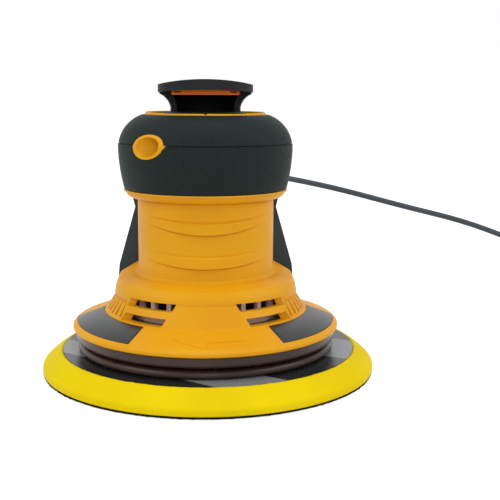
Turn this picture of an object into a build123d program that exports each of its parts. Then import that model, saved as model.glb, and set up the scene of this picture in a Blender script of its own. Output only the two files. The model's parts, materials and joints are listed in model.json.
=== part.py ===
from build123d import *
from math import atan2, cos, dist, pi, radians, sin, sqrt, tan
import os

os.makedirs("parts", exist_ok=True)

# Random orbit palm sander: a brushless motor over a 150 mm hook pad, a press lever on top,
# and a tail that carries the dust outlet, the controls and the mains lead.
# Millimetres, +Z up. The origin is the middle of the pad's hook face, on the motor axis.
# The front is -Y. The dust outlet and the lead leave along +Y.

# Fits
SEAT = 0.05  # round a piece that is seated in another
RUN_GAP = 0.4  # between a turning piece and what it passes
SLIDE_GAP = 0.3  # round a piece that slides or rocks
TAIL_GAP = 0.25  # between the tail and the body that it saddles

# Backing pad
PAD_R = 75.0
ORBIT = 2.5
HOOK_T = 1.5
FOAM_T = 8.7
FOAM_EDGE_H = 1.8
FOAM_LIP = 0.95
PLATE_R = 65.9
PLATE_T = 3.0
PLATE_HUB_R = 16.0
PLATE_HUB_H = 1.8
DUST_HOLES = 6
DUST_HOLE_R = 5.0
DUST_RING_R = 40.0
STUD_R = 4.0
STUD_FLANGE_R = 10.0
STUD_FLANGE_T = 2.0
STUD_GRIP = 9.0

# Spindle and eccentric
SPINDLE_FLANGE_R = 11.0
SPINDLE_FLANGE_T = 1.4
SPINDLE_SCREW_R = 2.5
SPINDLE_SCREW_GRIP = 2.6
SPINDLE_HEAD_R = 7.4
SPINDLE_HEAD_T = 3.0
SPINDLE_BEARING = (6.0, 16.0, 10.0, 2.6, 9)  # bore radius, outer radius, width, ball radius, balls
CIRCLIP_T = 1.0
CIRCLIP_W = 2.0
HUB_WALL = 2.2
HUB_WEB = 2.5
HUB_POCKET_H = 4.0
WEIGHT_R = 38.0
WEIGHT_T = 5.5
WEIGHT_ARC = 150.0

# Housing outline, from the rim up
SKIRT_LIFT = 9.8
RIM_R = 60.0
RIM_H = 1.4
RIM_ROUND = 1.4
SKIRT_H = 7.8
CREASE_R = 45.2
VENT_H = 9.0
SHOULDER_R = 40.9
SHOULDER_H = 6.4
SHOULDER_IN = 1.8
SLOPE_H = 5.3
NECK_R = 30.4
NECK_H = 29.5
NECK_FILLET = 3.0
FLANGE_H = 3.8
FLANGE_R = 36.2
FLANGE_LIP_T = 0.9
FLANGE_LIP_STEP = 0.4
HOUSING_WALL = 2.4
BAND_PROUD = 1.0
BAND_CUT = 1.1
BAND_T = 5.1
BAND_LIFTS = (2.5, 17.1)

# Grip
GRIP_T = 2.3
GRIP_BELLY_R = 38.7
GRIP_BELLY_H = 17.0
GRIP_SEAM_H = 20.2
GRIP_SEAM_STEP = 0.4
GRIP_H = 33.0
DECK_R = 26.8
DECK_T = 2.6

# Vents, ribs and badges
VENT_SLOT_H = 2.65
VENT_LIFTS = (0.5, 6.4)
VENT_INNER_X = (16.7, 12.5)
VENT_BACK_Y = (26.5, 25.0)
VENT_SLANT = 0.9
RIB_ANGLES = (56.0, 61.5, 67.0, 72.5, 78.0)
RIB_W = 1.7
RIB_DEPTH = 0.9
BADGE_T = 0.5
BADGE_FRONT_X = 27.5
BADGE_SLANT = 10.0
BADGE_BACK = 104.0
BADGE_START = 20.0
BADGE_MARGIN = 0.9

# Screw wells on the left side of the grip
WELL_Y = 29.9
WELL_LIFT = 19.7
WELL_R = 4.3
WELL_WALL = 1.1
WELL_SEAT_X = 13.0
SCREW_R = 1.5
SCREW_HEAD_R = 3.0
SCREW_HEAD_T = 2.2
SCREW_GRIP = 9.0
BOSS_R = 4.5

# Motor
BAFFLE_T = 1.4
BAFFLE_R = 44.4
BRACKET_T = 2.5
BRACKET_R = 36.5
BRACKET_LIFT = 2.7
LOWER_BEARING = (6.0, 14.0, 8.0, 2.2, 9)
UPPER_BEARING = (4.0, 11.0, 7.0, 2.0, 8)
CUP_WALL = 2.5
CUP_SEAT = 3.0
UPPER_BRACKET_R = 31.4
STATOR_BORE_R = 15.2
STATOR_L = 20.0
STATOR_LIFT = 12.0
STATOR_YOKE = 3.2
STATOR_LEDGE = 1.9
TEETH = 9
TOOTH_W = 4.2
SHOE_W = 8.0
SHOE_T = 1.5
WINDING_HEAD = 3.0
WINDING_W = 8.2
SHAFT_R = 6.0
SHAFT_END_R = 5.0
ROTOR_R = 13.0
MAGNET_T = 1.5
MAGNETS = 4
MAGNET_GAP = 2.0
FAN_R = 36.4
FAN_BASE_T = 2.2
FAN_RING_T = 2.4
FAN_BLADES = 28
BLADE_T = 2.0
BLADE_ROOT_R = 23.0

# Motor electronics
POST_R = 2.5
POST_RING_R = 24.0
POSTS = 3
POST_H = 9.5
BOARD_R = 28.5
BOARD_T = 1.6
BOARD_HOLE_R = 8.0
BOARD_SCREW_R = 1.2
BOARD_SCREW_HEAD_R = 2.2
COVER_FLANGE_T = 1.5
COVER_NECK_R = 7.0
COVER_NECK_H = 4.0
COVER_TABLE_R = 14.0
COVER_TABLE_T = 2.0
CAPACITOR_R = 5.0
CAPACITOR_H = 9.0
CHIP = (8.4, 6.5, 2.4)
SENSOR = (4.0, 3.0, 1.5)
SENSOR_Y = -11.0

# Lever
SPOOL_R = 15.6
SPOOL_WALL = 2.2
SPOOL_DROP = 9.8
COLLAR_H = 3.2
COLLAR_FOOT_R = 19.5
COLLAR_WALL = 0.7
DECK_HOLE_GAP = 1.0
LEVER_LIFT = 11.0
LEVER_T = 3.6
LEVER_W = 41.0
LEVER_FRONT = 25.0
LEVER_BACK = 26.0
LEVER_CORNER = 15.0
LEVER_CROWN = 100.0
LEVER_EDGE = 1.1
LEVER_FLARE_R = 19.4
LEVER_THROAT_R = 15.7
LEVER_MOUTH_Y = -4.6
LEVER_FLOOR_T = 3.0
PIVOT_Y = 9.0
PIVOT_DROP = 6.3
PIN_R = 1.5
LUG_T = 3.0
LUG_W = 8.0
INSERT = (28.6, 6.0, 2.8)
INSERT_Y = -14.5
MAGNET_R = 2.5
MAGNET_H = 2.0
SPRING_R = 4.0
SPRING_WIRE_R = 0.55
SPRING_TURNS = 4
SPRING_Y = -3.5

# Brake skirt, a two-fold rubber bellows under the rim
BELLOWS_R = 58.6
BELLOWS_LOW_R = 57.6
BELLOWS_WAIST_IN = 4.5
BELLOWS_WALL = 1.6
BELLOWS_FOLD_H = 4.9
BELLOWS_LOW_H = 3.2
BELLOWS_IN = 8.0

# Tail
TAIL_WALL = 2.4
TAIL_FRONT_Y = 12.0
TAIL_MID_Y = 58.0
TAIL_BACK_Y = 120.0
TAIL_H = 66.0
DUCT_W = 28.0
DUCT_D = 11.0
DUCT_Y = 50.5
DUCT_WALL = 1.6
DUCT_TUBE_R = 13.8
DUCT_BORE_R = 12.2
OUTLET_R = 14.0
OUTLET_NECK_R = 13.2
OUTLET_BORE_R = 12.0
OUTLET_L = 38.0
OUTLET_OUT = 30.0
OUTLET_LIFT = 32.0
OUTLET_FLANGE_R = 16.5
OUTLET_FLANGE_T = 2.0
GLAND_LIFT = 56.0
GLAND_OUT = 40.0
GLAND_R = 5.2
GLAND_TIP_R = 3.3
GLAND_FLANGE_R = 6.6
GLAND_FLANGE_T = 2.0
GLAND_GROOVES = 5
PANEL = (27.0, 46.0, 1.0)
PANEL_Y = 88.0
BUTTON_Y = (74.0, 89.0, 101.0)
BUTTON_R = (5.0, 3.6, 3.6)
BUTTON_TRAVEL = 0.8
BUTTON_PROUD = 1.4
BUTTON_FLANGE_W = 1.0
BUTTON_FLANGE_T = 1.1
SWITCH_T = 1.4
CONTROL_BOARD = (22.0, 40.0, 1.6)
SHELF_T = 1.5
SHELF_W = 4.0
TAIL_SCREW_Y = (70.0, 66.0, 104.0)
TAIL_SCREW_LOW = 12.5
TAIL_SCREW_HIGH = 15.0
TAIL_BOSS_SEAT = 8.0

# Mains lead
CORD_R = 2.0
COIL_CENTRE = (232.0, 142.0)
COIL_IN_R = 16.0
COIL_STEP = 2.75
COIL_HALF_TURNS = (6, 6, 6, 5)
COIL_LAYER = 4.6
TIE_T = 0.8
TIE_W = 9.0
TIE_GAP = 0.3
PLUG = (35.3, 35.5, 13.7)
PLUG_NECK_R = 4.6
PLUG_NECK_L = 9.0
PLUG_PIN_R = 2.0
PLUG_PIN_L = 19.0
PLUG_PIN_SPACING = 18.6
PLUG_ROOT_R = 1.6
PLUG_ROOT_L = 8.0

# Heights and radii that follow from the sizes above
ECCENTRIC = ORBIT / 2
PAD_TOP = HOOK_T + FOAM_T
PLATE_Z = PAD_TOP - PLATE_T
PLATE_HUB_TOP = PAD_TOP + PLATE_HUB_H
ROTOR_FOOT = PLATE_HUB_TOP + SPINDLE_FLANGE_T + RUN_GAP
BEARING_Z = ROTOR_FOOT + CIRCLIP_T + SEAT
BEARING_TOP = BEARING_Z + SPINDLE_BEARING[2]
POCKET_TOP = BEARING_TOP + HUB_POCKET_H
SOCKET_Z = POCKET_TOP + HUB_WEB
HUB_R = SPINDLE_BEARING[1] + SEAT + ECCENTRIC + HUB_WALL
RIM_Z = PAD_TOP + SKIRT_LIFT
CREASE_Z = RIM_Z + SKIRT_H
SHOULDER_Z = CREASE_Z + VENT_H
SHOULDER_TOP = SHOULDER_Z + SHOULDER_H
NECK_Z = SHOULDER_TOP + SLOPE_H
FLANGE_FOOT = NECK_Z + NECK_H
FLANGE_Z = FLANGE_FOOT + FLANGE_H
DECK_Z = FLANGE_Z + GRIP_H
BELLY_Z = FLANGE_Z + GRIP_BELLY_H
SEAM_Z = FLANGE_Z + GRIP_SEAM_H
NECK_BORE_R = NECK_R - HOUSING_WALL - 0.5
STATOR_R = NECK_BORE_R - SEAT
BAFFLE_TOP = CREASE_Z - 1.8
BAFFLE_Z = BAFFLE_TOP - BAFFLE_T
BRACKET_Z = SHOULDER_Z + BRACKET_LIFT
BRACKET_TOP = BRACKET_Z + BRACKET_T
STATOR_Z = BRACKET_TOP + STATOR_LIFT
UPPER_BRACKET_Z = FLANGE_Z - 1.3
UPPER_BRACKET_TOP = UPPER_BRACKET_Z + BRACKET_T
CUP_TOP = UPPER_BRACKET_TOP + UPPER_BEARING[2] + 0.5
BOARD_Z = UPPER_BRACKET_TOP + POST_H
COVER_TOP = CUP_TOP + COVER_FLANGE_T + COVER_NECK_H + COVER_TABLE_T
PIVOT_Z = DECK_Z - PIVOT_DROP
SPOOL_Z = DECK_Z - SPOOL_DROP
LEVER_FLOOR_Z = DECK_Z - 5.8
COLLAR_TOP = DECK_Z + COLLAR_H
LEVER_Z = DECK_Z + LEVER_LIFT
DECK_HOLE_R = SPOOL_R + DECK_HOLE_GAP
WELL_Z = FLANGE_Z + WELL_LIFT
OUTLET_Z = RIM_Z + OUTLET_LIFT
GLAND_Z = RIM_Z + GLAND_LIFT
TAIL_TOP = RIM_Z + TAIL_H
GLAND_END = TAIL_BACK_Y + GLAND_OUT
COIL_OUT_R = COIL_IN_R + COIL_STEP * COIL_HALF_TURNS[0]
COIL_Z = TIE_T + TIE_GAP + CORD_R

pieces = {}


def upright(x):
    """The plane of a profile turned about a vertical axis at x."""
    return Plane(origin=(x, 0, 0), x_dir=(1, 0, 0), z_dir=(0, -1, 0))


def keep(name, builder):
    """Label a finished piece and list it for writing."""
    builder.part.label = name
    pieces[name] = builder.part


def turned(points, x=0.0):
    """A solid of revolution about the vertical axis at x from (radius, height) points."""
    with BuildPart() as solid:
        with BuildSketch(upright(x)):
            with BuildLine():
                Polyline(*points, close=True)
            make_face()
        revolve(axis=Axis((x, 0, 0), (0, 0, 1)))
    return solid


def bearing(size, base_z, x=0.0):
    """Outer ring, inner ring and balls of a deep groove ball bearing."""
    bore_r, outer_r, width, ball_r, count = size
    pitch_r = (bore_r + outer_r) / 2
    land = 0.62 * ball_r
    middle = base_z + width / 2
    rings = []
    for low_r, high_r in ((pitch_r + land, outer_r), (bore_r, pitch_r - land)):
        with BuildPart() as ring:
            with BuildSketch(upright(x)):
                with Locations(((low_r + high_r) / 2, middle)):
                    Rectangle(high_r - low_r, width)
                with Locations((pitch_r, middle)):
                    Circle(ball_r + 2 * SEAT, mode=Mode.SUBTRACT)
            revolve(axis=Axis((x, 0, 0), (0, 0, 1)))
        rings.append(ring.part)
    with BuildPart(Plane.XY.move(Location((x, 0, middle)))) as balls:
        with PolarLocations(pitch_r, count):
            Sphere(ball_r)
    return rings[0], rings[1], balls.part


# Pad: hook layer, foam, plate and stud, all about the spindle axis
with BuildPart() as dust_holes:
    with BuildSketch(Plane.XY.move(Location((ECCENTRIC, 0, 0)))):
        with PolarLocations(DUST_RING_R, DUST_HOLES, start_angle=30):
            Circle(DUST_HOLE_R)
    extrude(amount=PLATE_HUB_TOP)

with BuildPart() as pad_hook:
    with BuildSketch(Plane.XY.move(Location((ECCENTRIC, 0, 0)))):
        Circle(PAD_R)
    extrude(amount=HOOK_T)
    add(dust_holes.part, mode=Mode.SUBTRACT)
keep("pad_hook", pad_hook)

foam_top_r = PLATE_R + SEAT + FOAM_LIP
foam_turn = atan2(PAD_R - foam_top_r, FOAM_T - FOAM_EDGE_H)
foam_round = 0.75 * FOAM_EDGE_H / tan(foam_turn / 2)
stud_z = PLATE_Z - STUD_FLANGE_T
with BuildPart() as pad_foam:
    with BuildSketch(upright(ECCENTRIC)) as foam_profile:
        with BuildLine():
            Polyline(
                (0, HOOK_T),
                (PAD_R, HOOK_T),
                (PAD_R, HOOK_T + FOAM_EDGE_H),
                (foam_top_r, PAD_TOP),
                (PLATE_R + SEAT, PAD_TOP),
                (PLATE_R + SEAT, PLATE_Z),
                (STUD_FLANGE_R + SEAT, PLATE_Z),
                (STUD_FLANGE_R + SEAT, stud_z),
                (0, stud_z),
                close=True,
            )
        make_face()
        edge_corner = foam_profile.vertices().group_by(Axis.X)[-1].sort_by(Axis.Y)[-1]
        fillet(edge_corner, radius=foam_round)
    revolve(axis=Axis((ECCENTRIC, 0, 0), (0, 0, 1)))
    add(dust_holes.part, mode=Mode.SUBTRACT)
keep("pad_foam", pad_foam)

with BuildPart() as pad_plate:
    with BuildSketch(upright(ECCENTRIC)):
        with BuildLine():
            Polyline(
                (STUD_R + SEAT, PLATE_Z),
                (PLATE_R, PLATE_Z),
                (PLATE_R, PAD_TOP),
                (PLATE_HUB_R, PAD_TOP),
                (PLATE_HUB_R, PLATE_HUB_TOP),
                (STUD_R + SEAT, PLATE_HUB_TOP),
                close=True,
            )
        make_face()
    revolve(axis=Axis((ECCENTRIC, 0, 0), (0, 0, 1)))
    add(dust_holes.part, mode=Mode.SUBTRACT)
keep("pad_plate", pad_plate)

stud_top = PLATE_HUB_TOP + STUD_GRIP
pad_stud = turned(
    [
        (0, stud_z),
        (STUD_FLANGE_R, stud_z),
        (STUD_FLANGE_R, PLATE_Z),
        (STUD_R, PLATE_Z),
        (STUD_R, stud_top - 0.6),
        (STUD_R - 0.6, stud_top),
        (0, stud_top),
    ],
    ECCENTRIC,
)
keep("pad_stud", pad_stud)

# Spindle, its screw and the bearing in the eccentric
spindle_r = SPINDLE_BEARING[0] - SEAT
spindle_foot = PLATE_HUB_TOP + SPINDLE_FLANGE_T
spindle_seat_r = spindle_r + 1.6
pad_spindle = turned(
    [
        (STUD_R + SEAT, PLATE_HUB_TOP),
        (SPINDLE_FLANGE_R, PLATE_HUB_TOP),
        (SPINDLE_FLANGE_R, spindle_foot),
        (spindle_seat_r, spindle_foot),
        (spindle_seat_r, BEARING_Z),
        (spindle_r, BEARING_Z),
        (spindle_r, BEARING_TOP),
        (SPINDLE_SCREW_R + SEAT, BEARING_TOP),
        (SPINDLE_SCREW_R + SEAT, stud_top + SEAT),
        (STUD_R + SEAT, stud_top + SEAT),
    ],
    ECCENTRIC,
)
keep("pad_spindle", pad_spindle)

spindle_screw = turned(
    [
        (0, BEARING_TOP - SPINDLE_SCREW_GRIP),
        (SPINDLE_SCREW_R, BEARING_TOP - SPINDLE_SCREW_GRIP),
        (SPINDLE_SCREW_R, BEARING_TOP),
        (SPINDLE_HEAD_R, BEARING_TOP),
        (SPINDLE_HEAD_R, BEARING_TOP + SPINDLE_HEAD_T),
        (0, BEARING_TOP + SPINDLE_HEAD_T),
    ],
    ECCENTRIC,
)
keep("spindle_screw", spindle_screw)

ring_out, ring_in, ball_set = bearing(SPINDLE_BEARING, BEARING_Z, ECCENTRIC)
ring_out.label = "spindle_bearing_outer"
ring_in.label = "spindle_bearing_inner"
ball_set.label = "spindle_bearing_balls"
for ring in (ring_out, ring_in, ball_set):
    pieces[ring.label] = ring

bearing_circlip = turned(
    [
        (SPINDLE_BEARING[1] - CIRCLIP_W, ROTOR_FOOT),
        (SPINDLE_BEARING[1], ROTOR_FOOT),
        (SPINDLE_BEARING[1], ROTOR_FOOT + CIRCLIP_T),
        (SPINDLE_BEARING[1] - CIRCLIP_W, ROTOR_FOOT + CIRCLIP_T),
    ],
    ECCENTRIC,
)
keep("bearing_circlip", bearing_circlip)

# Rotor: eccentric hub, balance weight, fan, shaft, core and magnets
hub_top = BRACKET_Z - 1.0
with BuildPart() as eccentric_hub:
    with BuildSketch(Plane.XY.offset(ROTOR_FOOT)):
        Circle(HUB_R)
    extrude(amount=hub_top - ROTOR_FOOT)
    with BuildSketch(Plane.XY.offset(ROTOR_FOOT).move(Location((ECCENTRIC, 0, 0)))):
        Circle(SPINDLE_BEARING[1] + SEAT)
    extrude(amount=BEARING_TOP - ROTOR_FOOT, mode=Mode.SUBTRACT)
    with BuildSketch(Plane.XY.offset(BEARING_TOP).move(Location((ECCENTRIC, 0, 0)))):
        Circle(SPINDLE_HEAD_R + 1.0)
    extrude(amount=POCKET_TOP - BEARING_TOP, mode=Mode.SUBTRACT)
    with BuildSketch(Plane.XY.offset(SOCKET_Z)):
        Circle(SHAFT_END_R + SEAT)
    extrude(amount=hub_top - SOCKET_Z, mode=Mode.SUBTRACT)
keep("eccentric_hub", eccentric_hub)

weight_top = BAFFLE_Z - RUN_GAP
with BuildPart() as counterweight:
    with BuildSketch(Plane.XZ):
        with BuildLine():
            Polyline(
                (HUB_R + SEAT, weight_top - WEIGHT_T),
                (WEIGHT_R, weight_top - WEIGHT_T),
                (WEIGHT_R, weight_top),
                (HUB_R + SEAT, weight_top),
                close=True,
            )
        make_face()
    revolve(axis=Axis.Z, revolution_arc=WEIGHT_ARC)
balance_turn = 180.0 - WEIGHT_ARC / 2
counterweight.part = counterweight.part.rotate(Axis.Z, balance_turn)
keep("counterweight", counterweight)

fan_z = BAFFLE_TOP + 1.0
blade_top = BRACKET_Z - 2.5
blade_l = FAN_R - BLADE_ROOT_R
with BuildPart() as cooling_fan:
    with BuildSketch(Plane.XY.offset(fan_z)):
        Circle(FAN_R)
        Circle(HUB_R + SEAT, mode=Mode.SUBTRACT)
    extrude(amount=FAN_BASE_T)
    with BuildSketch(Plane.XY.offset(fan_z)):
        Circle(HUB_R + SEAT + FAN_RING_T)
        Circle(HUB_R + SEAT, mode=Mode.SUBTRACT)
    extrude(amount=2.5 * FAN_BASE_T)
    with BuildSketch(Plane.XY.offset(fan_z + FAN_BASE_T)):
        with PolarLocations(BLADE_ROOT_R + blade_l / 2, FAN_BLADES):
            Rectangle(blade_l, BLADE_T)
        Circle(FAN_R, mode=Mode.INTERSECT)
    extrude(amount=blade_top - fan_z - FAN_BASE_T)
keep("cooling_fan", cooling_fan)

shaft_top = CUP_TOP - RUN_GAP
upper_seat_z = UPPER_BRACKET_TOP - 0.5
motor_shaft = turned(
    [
        (0, SOCKET_Z),
        (SHAFT_END_R, SOCKET_Z),
        (SHAFT_END_R, hub_top),
        (SHAFT_R - SEAT, hub_top),
        (SHAFT_R - SEAT, upper_seat_z),
        (UPPER_BEARING[0] - SEAT, upper_seat_z),
        (UPPER_BEARING[0] - SEAT, shaft_top),
        (0, shaft_top),
    ]
)
keep("motor_shaft", motor_shaft)

with BuildPart() as rotor_core:
    with BuildSketch(Plane.XY.offset(STATOR_Z)):
        Circle(ROTOR_R)
        Circle(SHAFT_R, mode=Mode.SUBTRACT)
    extrude(amount=STATOR_L)
keep("rotor_core", rotor_core)

with BuildPart() as rotor_magnets:
    with BuildSketch(Plane.XY.offset(STATOR_Z)):
        Circle(ROTOR_R + SEAT + MAGNET_T)
        Circle(ROTOR_R + SEAT, mode=Mode.SUBTRACT)
        with PolarLocations(ROTOR_R, MAGNETS):
            Rectangle(4 * MAGNET_T, MAGNET_GAP, mode=Mode.SUBTRACT)
    extrude(amount=STATOR_L)
keep("rotor_magnets", rotor_magnets)

# Motor bearings: the lower one in the bracket, the upper one under the cover
lower_set = bearing(LOWER_BEARING, BRACKET_TOP)
upper_set = bearing(UPPER_BEARING, UPPER_BRACKET_TOP)
bearing_parts = ("motor_bearing_outers", "motor_bearing_inners", "motor_bearing_balls")
for name, low, high in zip(bearing_parts, lower_set, upper_set):
    with BuildPart() as pair:
        add(low)
        add(high)
    keep(name, pair)

# Stator: laminated core and one coil on each tooth
slot_r = STATOR_R - STATOR_YOKE
tooth_l = slot_r - STATOR_BORE_R
with BuildPart() as stator_core:
    with BuildSketch(Plane.XY.offset(STATOR_Z)):
        Circle(STATOR_R)
        Circle(slot_r, mode=Mode.SUBTRACT)
        with PolarLocations(STATOR_BORE_R + tooth_l / 2, TEETH):
            Rectangle(tooth_l + 1.0, TOOTH_W)
        with PolarLocations(STATOR_BORE_R + SHOE_T / 2, TEETH):
            Rectangle(SHOE_T + 0.6, SHOE_W)
        Circle(STATOR_BORE_R, mode=Mode.SUBTRACT)
    extrude(amount=STATOR_L)
keep("stator_core", stator_core)

winding_in = STATOR_BORE_R + SHOE_T + 1.4
winding_out = slot_r - 0.8
winding_mid = (winding_in + winding_out) / 2
with BuildPart() as stator_windings:
    with BuildSketch(Plane.XY.offset(STATOR_Z - WINDING_HEAD)):
        with PolarLocations(winding_mid, TEETH):
            Rectangle(winding_out - winding_in, WINDING_W)
    extrude(amount=STATOR_L + 2 * WINDING_HEAD)
    with BuildSketch(Plane.XY.offset(STATOR_Z - SEAT)):
        with PolarLocations(winding_mid, TEETH):
            Rectangle(winding_out - winding_in + 1.0, TOOTH_W + 2 * SEAT)
    extrude(amount=STATOR_L + 2 * SEAT, mode=Mode.SUBTRACT)
keep("stator_windings", stator_windings)

# Plates that carry the motor
baffle_plate = turned(
    [
        (HUB_R + 2 * RUN_GAP, BAFFLE_Z),
        (BAFFLE_R, BAFFLE_Z),
        (BAFFLE_R, BAFFLE_TOP),
        (HUB_R + 2 * RUN_GAP, BAFFLE_TOP),
    ]
)
keep("baffle_plate", baffle_plate)

lower_cup_r = LOWER_BEARING[1] + SEAT
lower_cup_top = BRACKET_TOP + LOWER_BEARING[2] + 0.3
lower_bracket = turned(
    [
        (LOWER_BEARING[1] - CUP_SEAT, BRACKET_Z),
        (BRACKET_R, BRACKET_Z),
        (BRACKET_R, BRACKET_TOP),
        (lower_cup_r + CUP_WALL, BRACKET_TOP),
        (lower_cup_r + CUP_WALL, lower_cup_top),
        (lower_cup_r, lower_cup_top),
        (lower_cup_r, BRACKET_TOP),
        (LOWER_BEARING[1] - CUP_SEAT, BRACKET_TOP),
    ]
)
keep("lower_bracket", lower_bracket)

upper_cup_r = UPPER_BEARING[1] + SEAT
with BuildPart() as upper_bracket:
    with BuildSketch(Plane.XZ):
        with BuildLine():
            Polyline(
                (UPPER_BEARING[1] - CUP_SEAT, UPPER_BRACKET_Z),
                (UPPER_BRACKET_R, UPPER_BRACKET_Z),
                (UPPER_BRACKET_R, UPPER_BRACKET_TOP),
                (upper_cup_r + CUP_WALL, UPPER_BRACKET_TOP),
                (upper_cup_r + CUP_WALL, CUP_TOP),
                (upper_cup_r, CUP_TOP),
                (upper_cup_r, UPPER_BRACKET_TOP),
                (UPPER_BEARING[1] - CUP_SEAT, UPPER_BRACKET_TOP),
                close=True,
            )
        make_face()
    revolve(axis=Axis.Z)
    with BuildSketch(Plane.XY.offset(UPPER_BRACKET_TOP)):
        with PolarLocations(POST_RING_R, POSTS, start_angle=90):
            Circle(POST_R)
    extrude(amount=POST_H)
    with BuildSketch(Plane.XY.offset(BOARD_Z)):
        with PolarLocations(POST_RING_R, POSTS, start_angle=90):
            Circle(BOARD_SCREW_R + SEAT)
    extrude(amount=-0.8 * POST_H, mode=Mode.SUBTRACT)
keep("upper_bracket", upper_bracket)

table_z = COVER_TOP - COVER_TABLE_T
cover_neck_z = CUP_TOP + COVER_FLANGE_T
bearing_cover = turned(
    [
        (0, CUP_TOP),
        (upper_cup_r + CUP_WALL, CUP_TOP),
        (upper_cup_r + CUP_WALL, cover_neck_z),
        (COVER_NECK_R, cover_neck_z),
        (COVER_NECK_R, table_z),
        (COVER_TABLE_R, table_z),
        (COVER_TABLE_R, COVER_TOP),
        (0, COVER_TOP),
    ]
)
keep("bearing_cover", bearing_cover)

# Motor driver board with its parts and screws
board_top = BOARD_Z + BOARD_T
with BuildPart() as driver_board:
    with BuildSketch(Plane.XY.offset(BOARD_Z)):
        Circle(BOARD_R)
        Circle(BOARD_HOLE_R, mode=Mode.SUBTRACT)
        with PolarLocations(POST_RING_R, POSTS, start_angle=90):
            Circle(BOARD_SCREW_R + SEAT, mode=Mode.SUBTRACT)
    extrude(amount=BOARD_T)
keep("driver_board", driver_board)

with BuildPart() as board_screws:
    with BuildSketch(Plane.XY.offset(board_top)):
        with PolarLocations(POST_RING_R, POSTS, start_angle=90):
            Circle(BOARD_SCREW_HEAD_R)
    extrude(amount=1.5)
    with BuildSketch(Plane.XY.offset(board_top)):
        with PolarLocations(POST_RING_R, POSTS, start_angle=90):
            Circle(BOARD_SCREW_R)
    extrude(amount=-0.7 * POST_H)
keep("board_screws", board_screws)

with BuildPart() as board_components:
    with BuildSketch(Plane.XY.offset(board_top)):
        with PolarLocations(POST_RING_R - 2.0, 2, start_angle=-5, angular_range=60):
            Circle(CAPACITOR_R)
    extrude(amount=CAPACITOR_H)
    with BuildSketch(Plane.XY.offset(board_top)):
        with PolarLocations(POST_RING_R - 2.0, 3, start_angle=150, angular_range=60):
            Circle(0.6 * CAPACITOR_R)
    extrude(amount=0.6 * CAPACITOR_H)
    with BuildSketch(Plane.XY.offset(board_top)):
        with PolarLocations(COVER_TABLE_R + CHIP[0] / 2 + 0.8, 3, start_angle=240, angular_range=90):
            Rectangle(CHIP[0], CHIP[1])
    extrude(amount=CHIP[2])
    with BuildSketch(Plane.XY.offset(COVER_TOP)):
        with Locations((0, SENSOR_Y)):
            Rectangle(SENSOR[0], SENSOR[1])
    extrude(amount=SENSOR[2])
keep("board_components", board_components)


# Housing: one turned shell, later cut into a left and a right half at X = 0
def grip_edge(inset):
    """Draw the grip's outside from its foot to the deck rim, moved inwards by inset."""
    lean = (cos(radians(42)), sin(radians(42)))
    crown_r = GRIP_BELLY_R - GRIP_SEAM_STEP
    foot = (FLANGE_R - inset, FLANGE_Z)
    rise = (FLANGE_R + 0.68 * (GRIP_BELLY_R - FLANGE_R) - inset, (FLANGE_Z + BELLY_Z) / 2)
    belly = (GRIP_BELLY_R - inset, BELLY_Z)
    seam = (GRIP_BELLY_R - inset, SEAM_Z)
    ledge = (crown_r - inset, SEAM_Z)
    turn = (
        DECK_R + 0.735 * (crown_r - DECK_R) - inset * lean[0],
        SEAM_Z + 0.575 * (DECK_Z - SEAM_Z) - inset * lean[1],
    )
    rim = (DECK_R, DECK_Z - inset)
    ThreePointArc(foot, rise, belly)
    Polyline(belly, seam, ledge)
    ThreePointArc(ledge, turn, rim)
    return foot, rim


def housing_edge(grow):
    """Draw the outside of skirt, shoulder, neck and flange, grown by grow."""
    slope_run = SHOULDER_R - SHOULDER_IN - NECK_R
    slope = SLOPE_H / slope_run
    foot_r = NECK_R + NECK_FILLET
    foot_z = NECK_Z - NECK_FILLET * slope
    lip_z = FLANGE_Z - FLANGE_LIP_T
    roll_r = FLANGE_R - FLANGE_LIP_STEP
    start = (RIM_R + grow, RIM_Z)
    skirt = (RIM_R - RIM_ROUND + grow, RIM_Z + RIM_H + RIM_ROUND + grow)
    crease = (CREASE_R + grow, CREASE_Z + grow)
    shoulder = (SHOULDER_R + grow, SHOULDER_Z)
    shoulder_top = (SHOULDER_R - SHOULDER_IN + grow, SHOULDER_TOP + grow)
    neck_foot = (foot_r + grow, foot_z + grow)
    neck = (NECK_R + grow, NECK_Z + 0.6 * NECK_FILLET)
    neck_top = (NECK_R + grow, FLANGE_FOOT - grow)
    roll_foot = (NECK_R + 1.8 + grow, FLANGE_FOOT + 0.3 - grow)
    roll = (roll_r + grow, lip_z)
    Polyline(start, (RIM_R + grow, RIM_Z + RIM_H), skirt, crease, shoulder)
    ThreePointArc(
        shoulder,
        (SHOULDER_R - 0.3 * SHOULDER_IN + grow, SHOULDER_Z + 0.5 * SHOULDER_H),
        shoulder_top,
    )
    Line(shoulder_top, neck_foot)
    ThreePointArc(
        neck_foot,
        (NECK_R + 0.3 * NECK_FILLET + grow, NECK_Z - 0.42 * NECK_FILLET * slope + grow),
        neck,
    )
    Polyline(neck, neck_top, roll_foot)
    ThreePointArc(
        roll_foot,
        (roll_r - 0.25 * (roll_r - NECK_R - 1.8) + grow, FLANGE_FOOT + 0.45 * FLANGE_H - grow),
        roll,
    )
    lip = (FLANGE_R + grow, lip_z)
    top = (FLANGE_R + grow, FLANGE_Z)
    Polyline(roll, lip, top)
    return start, top


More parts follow.
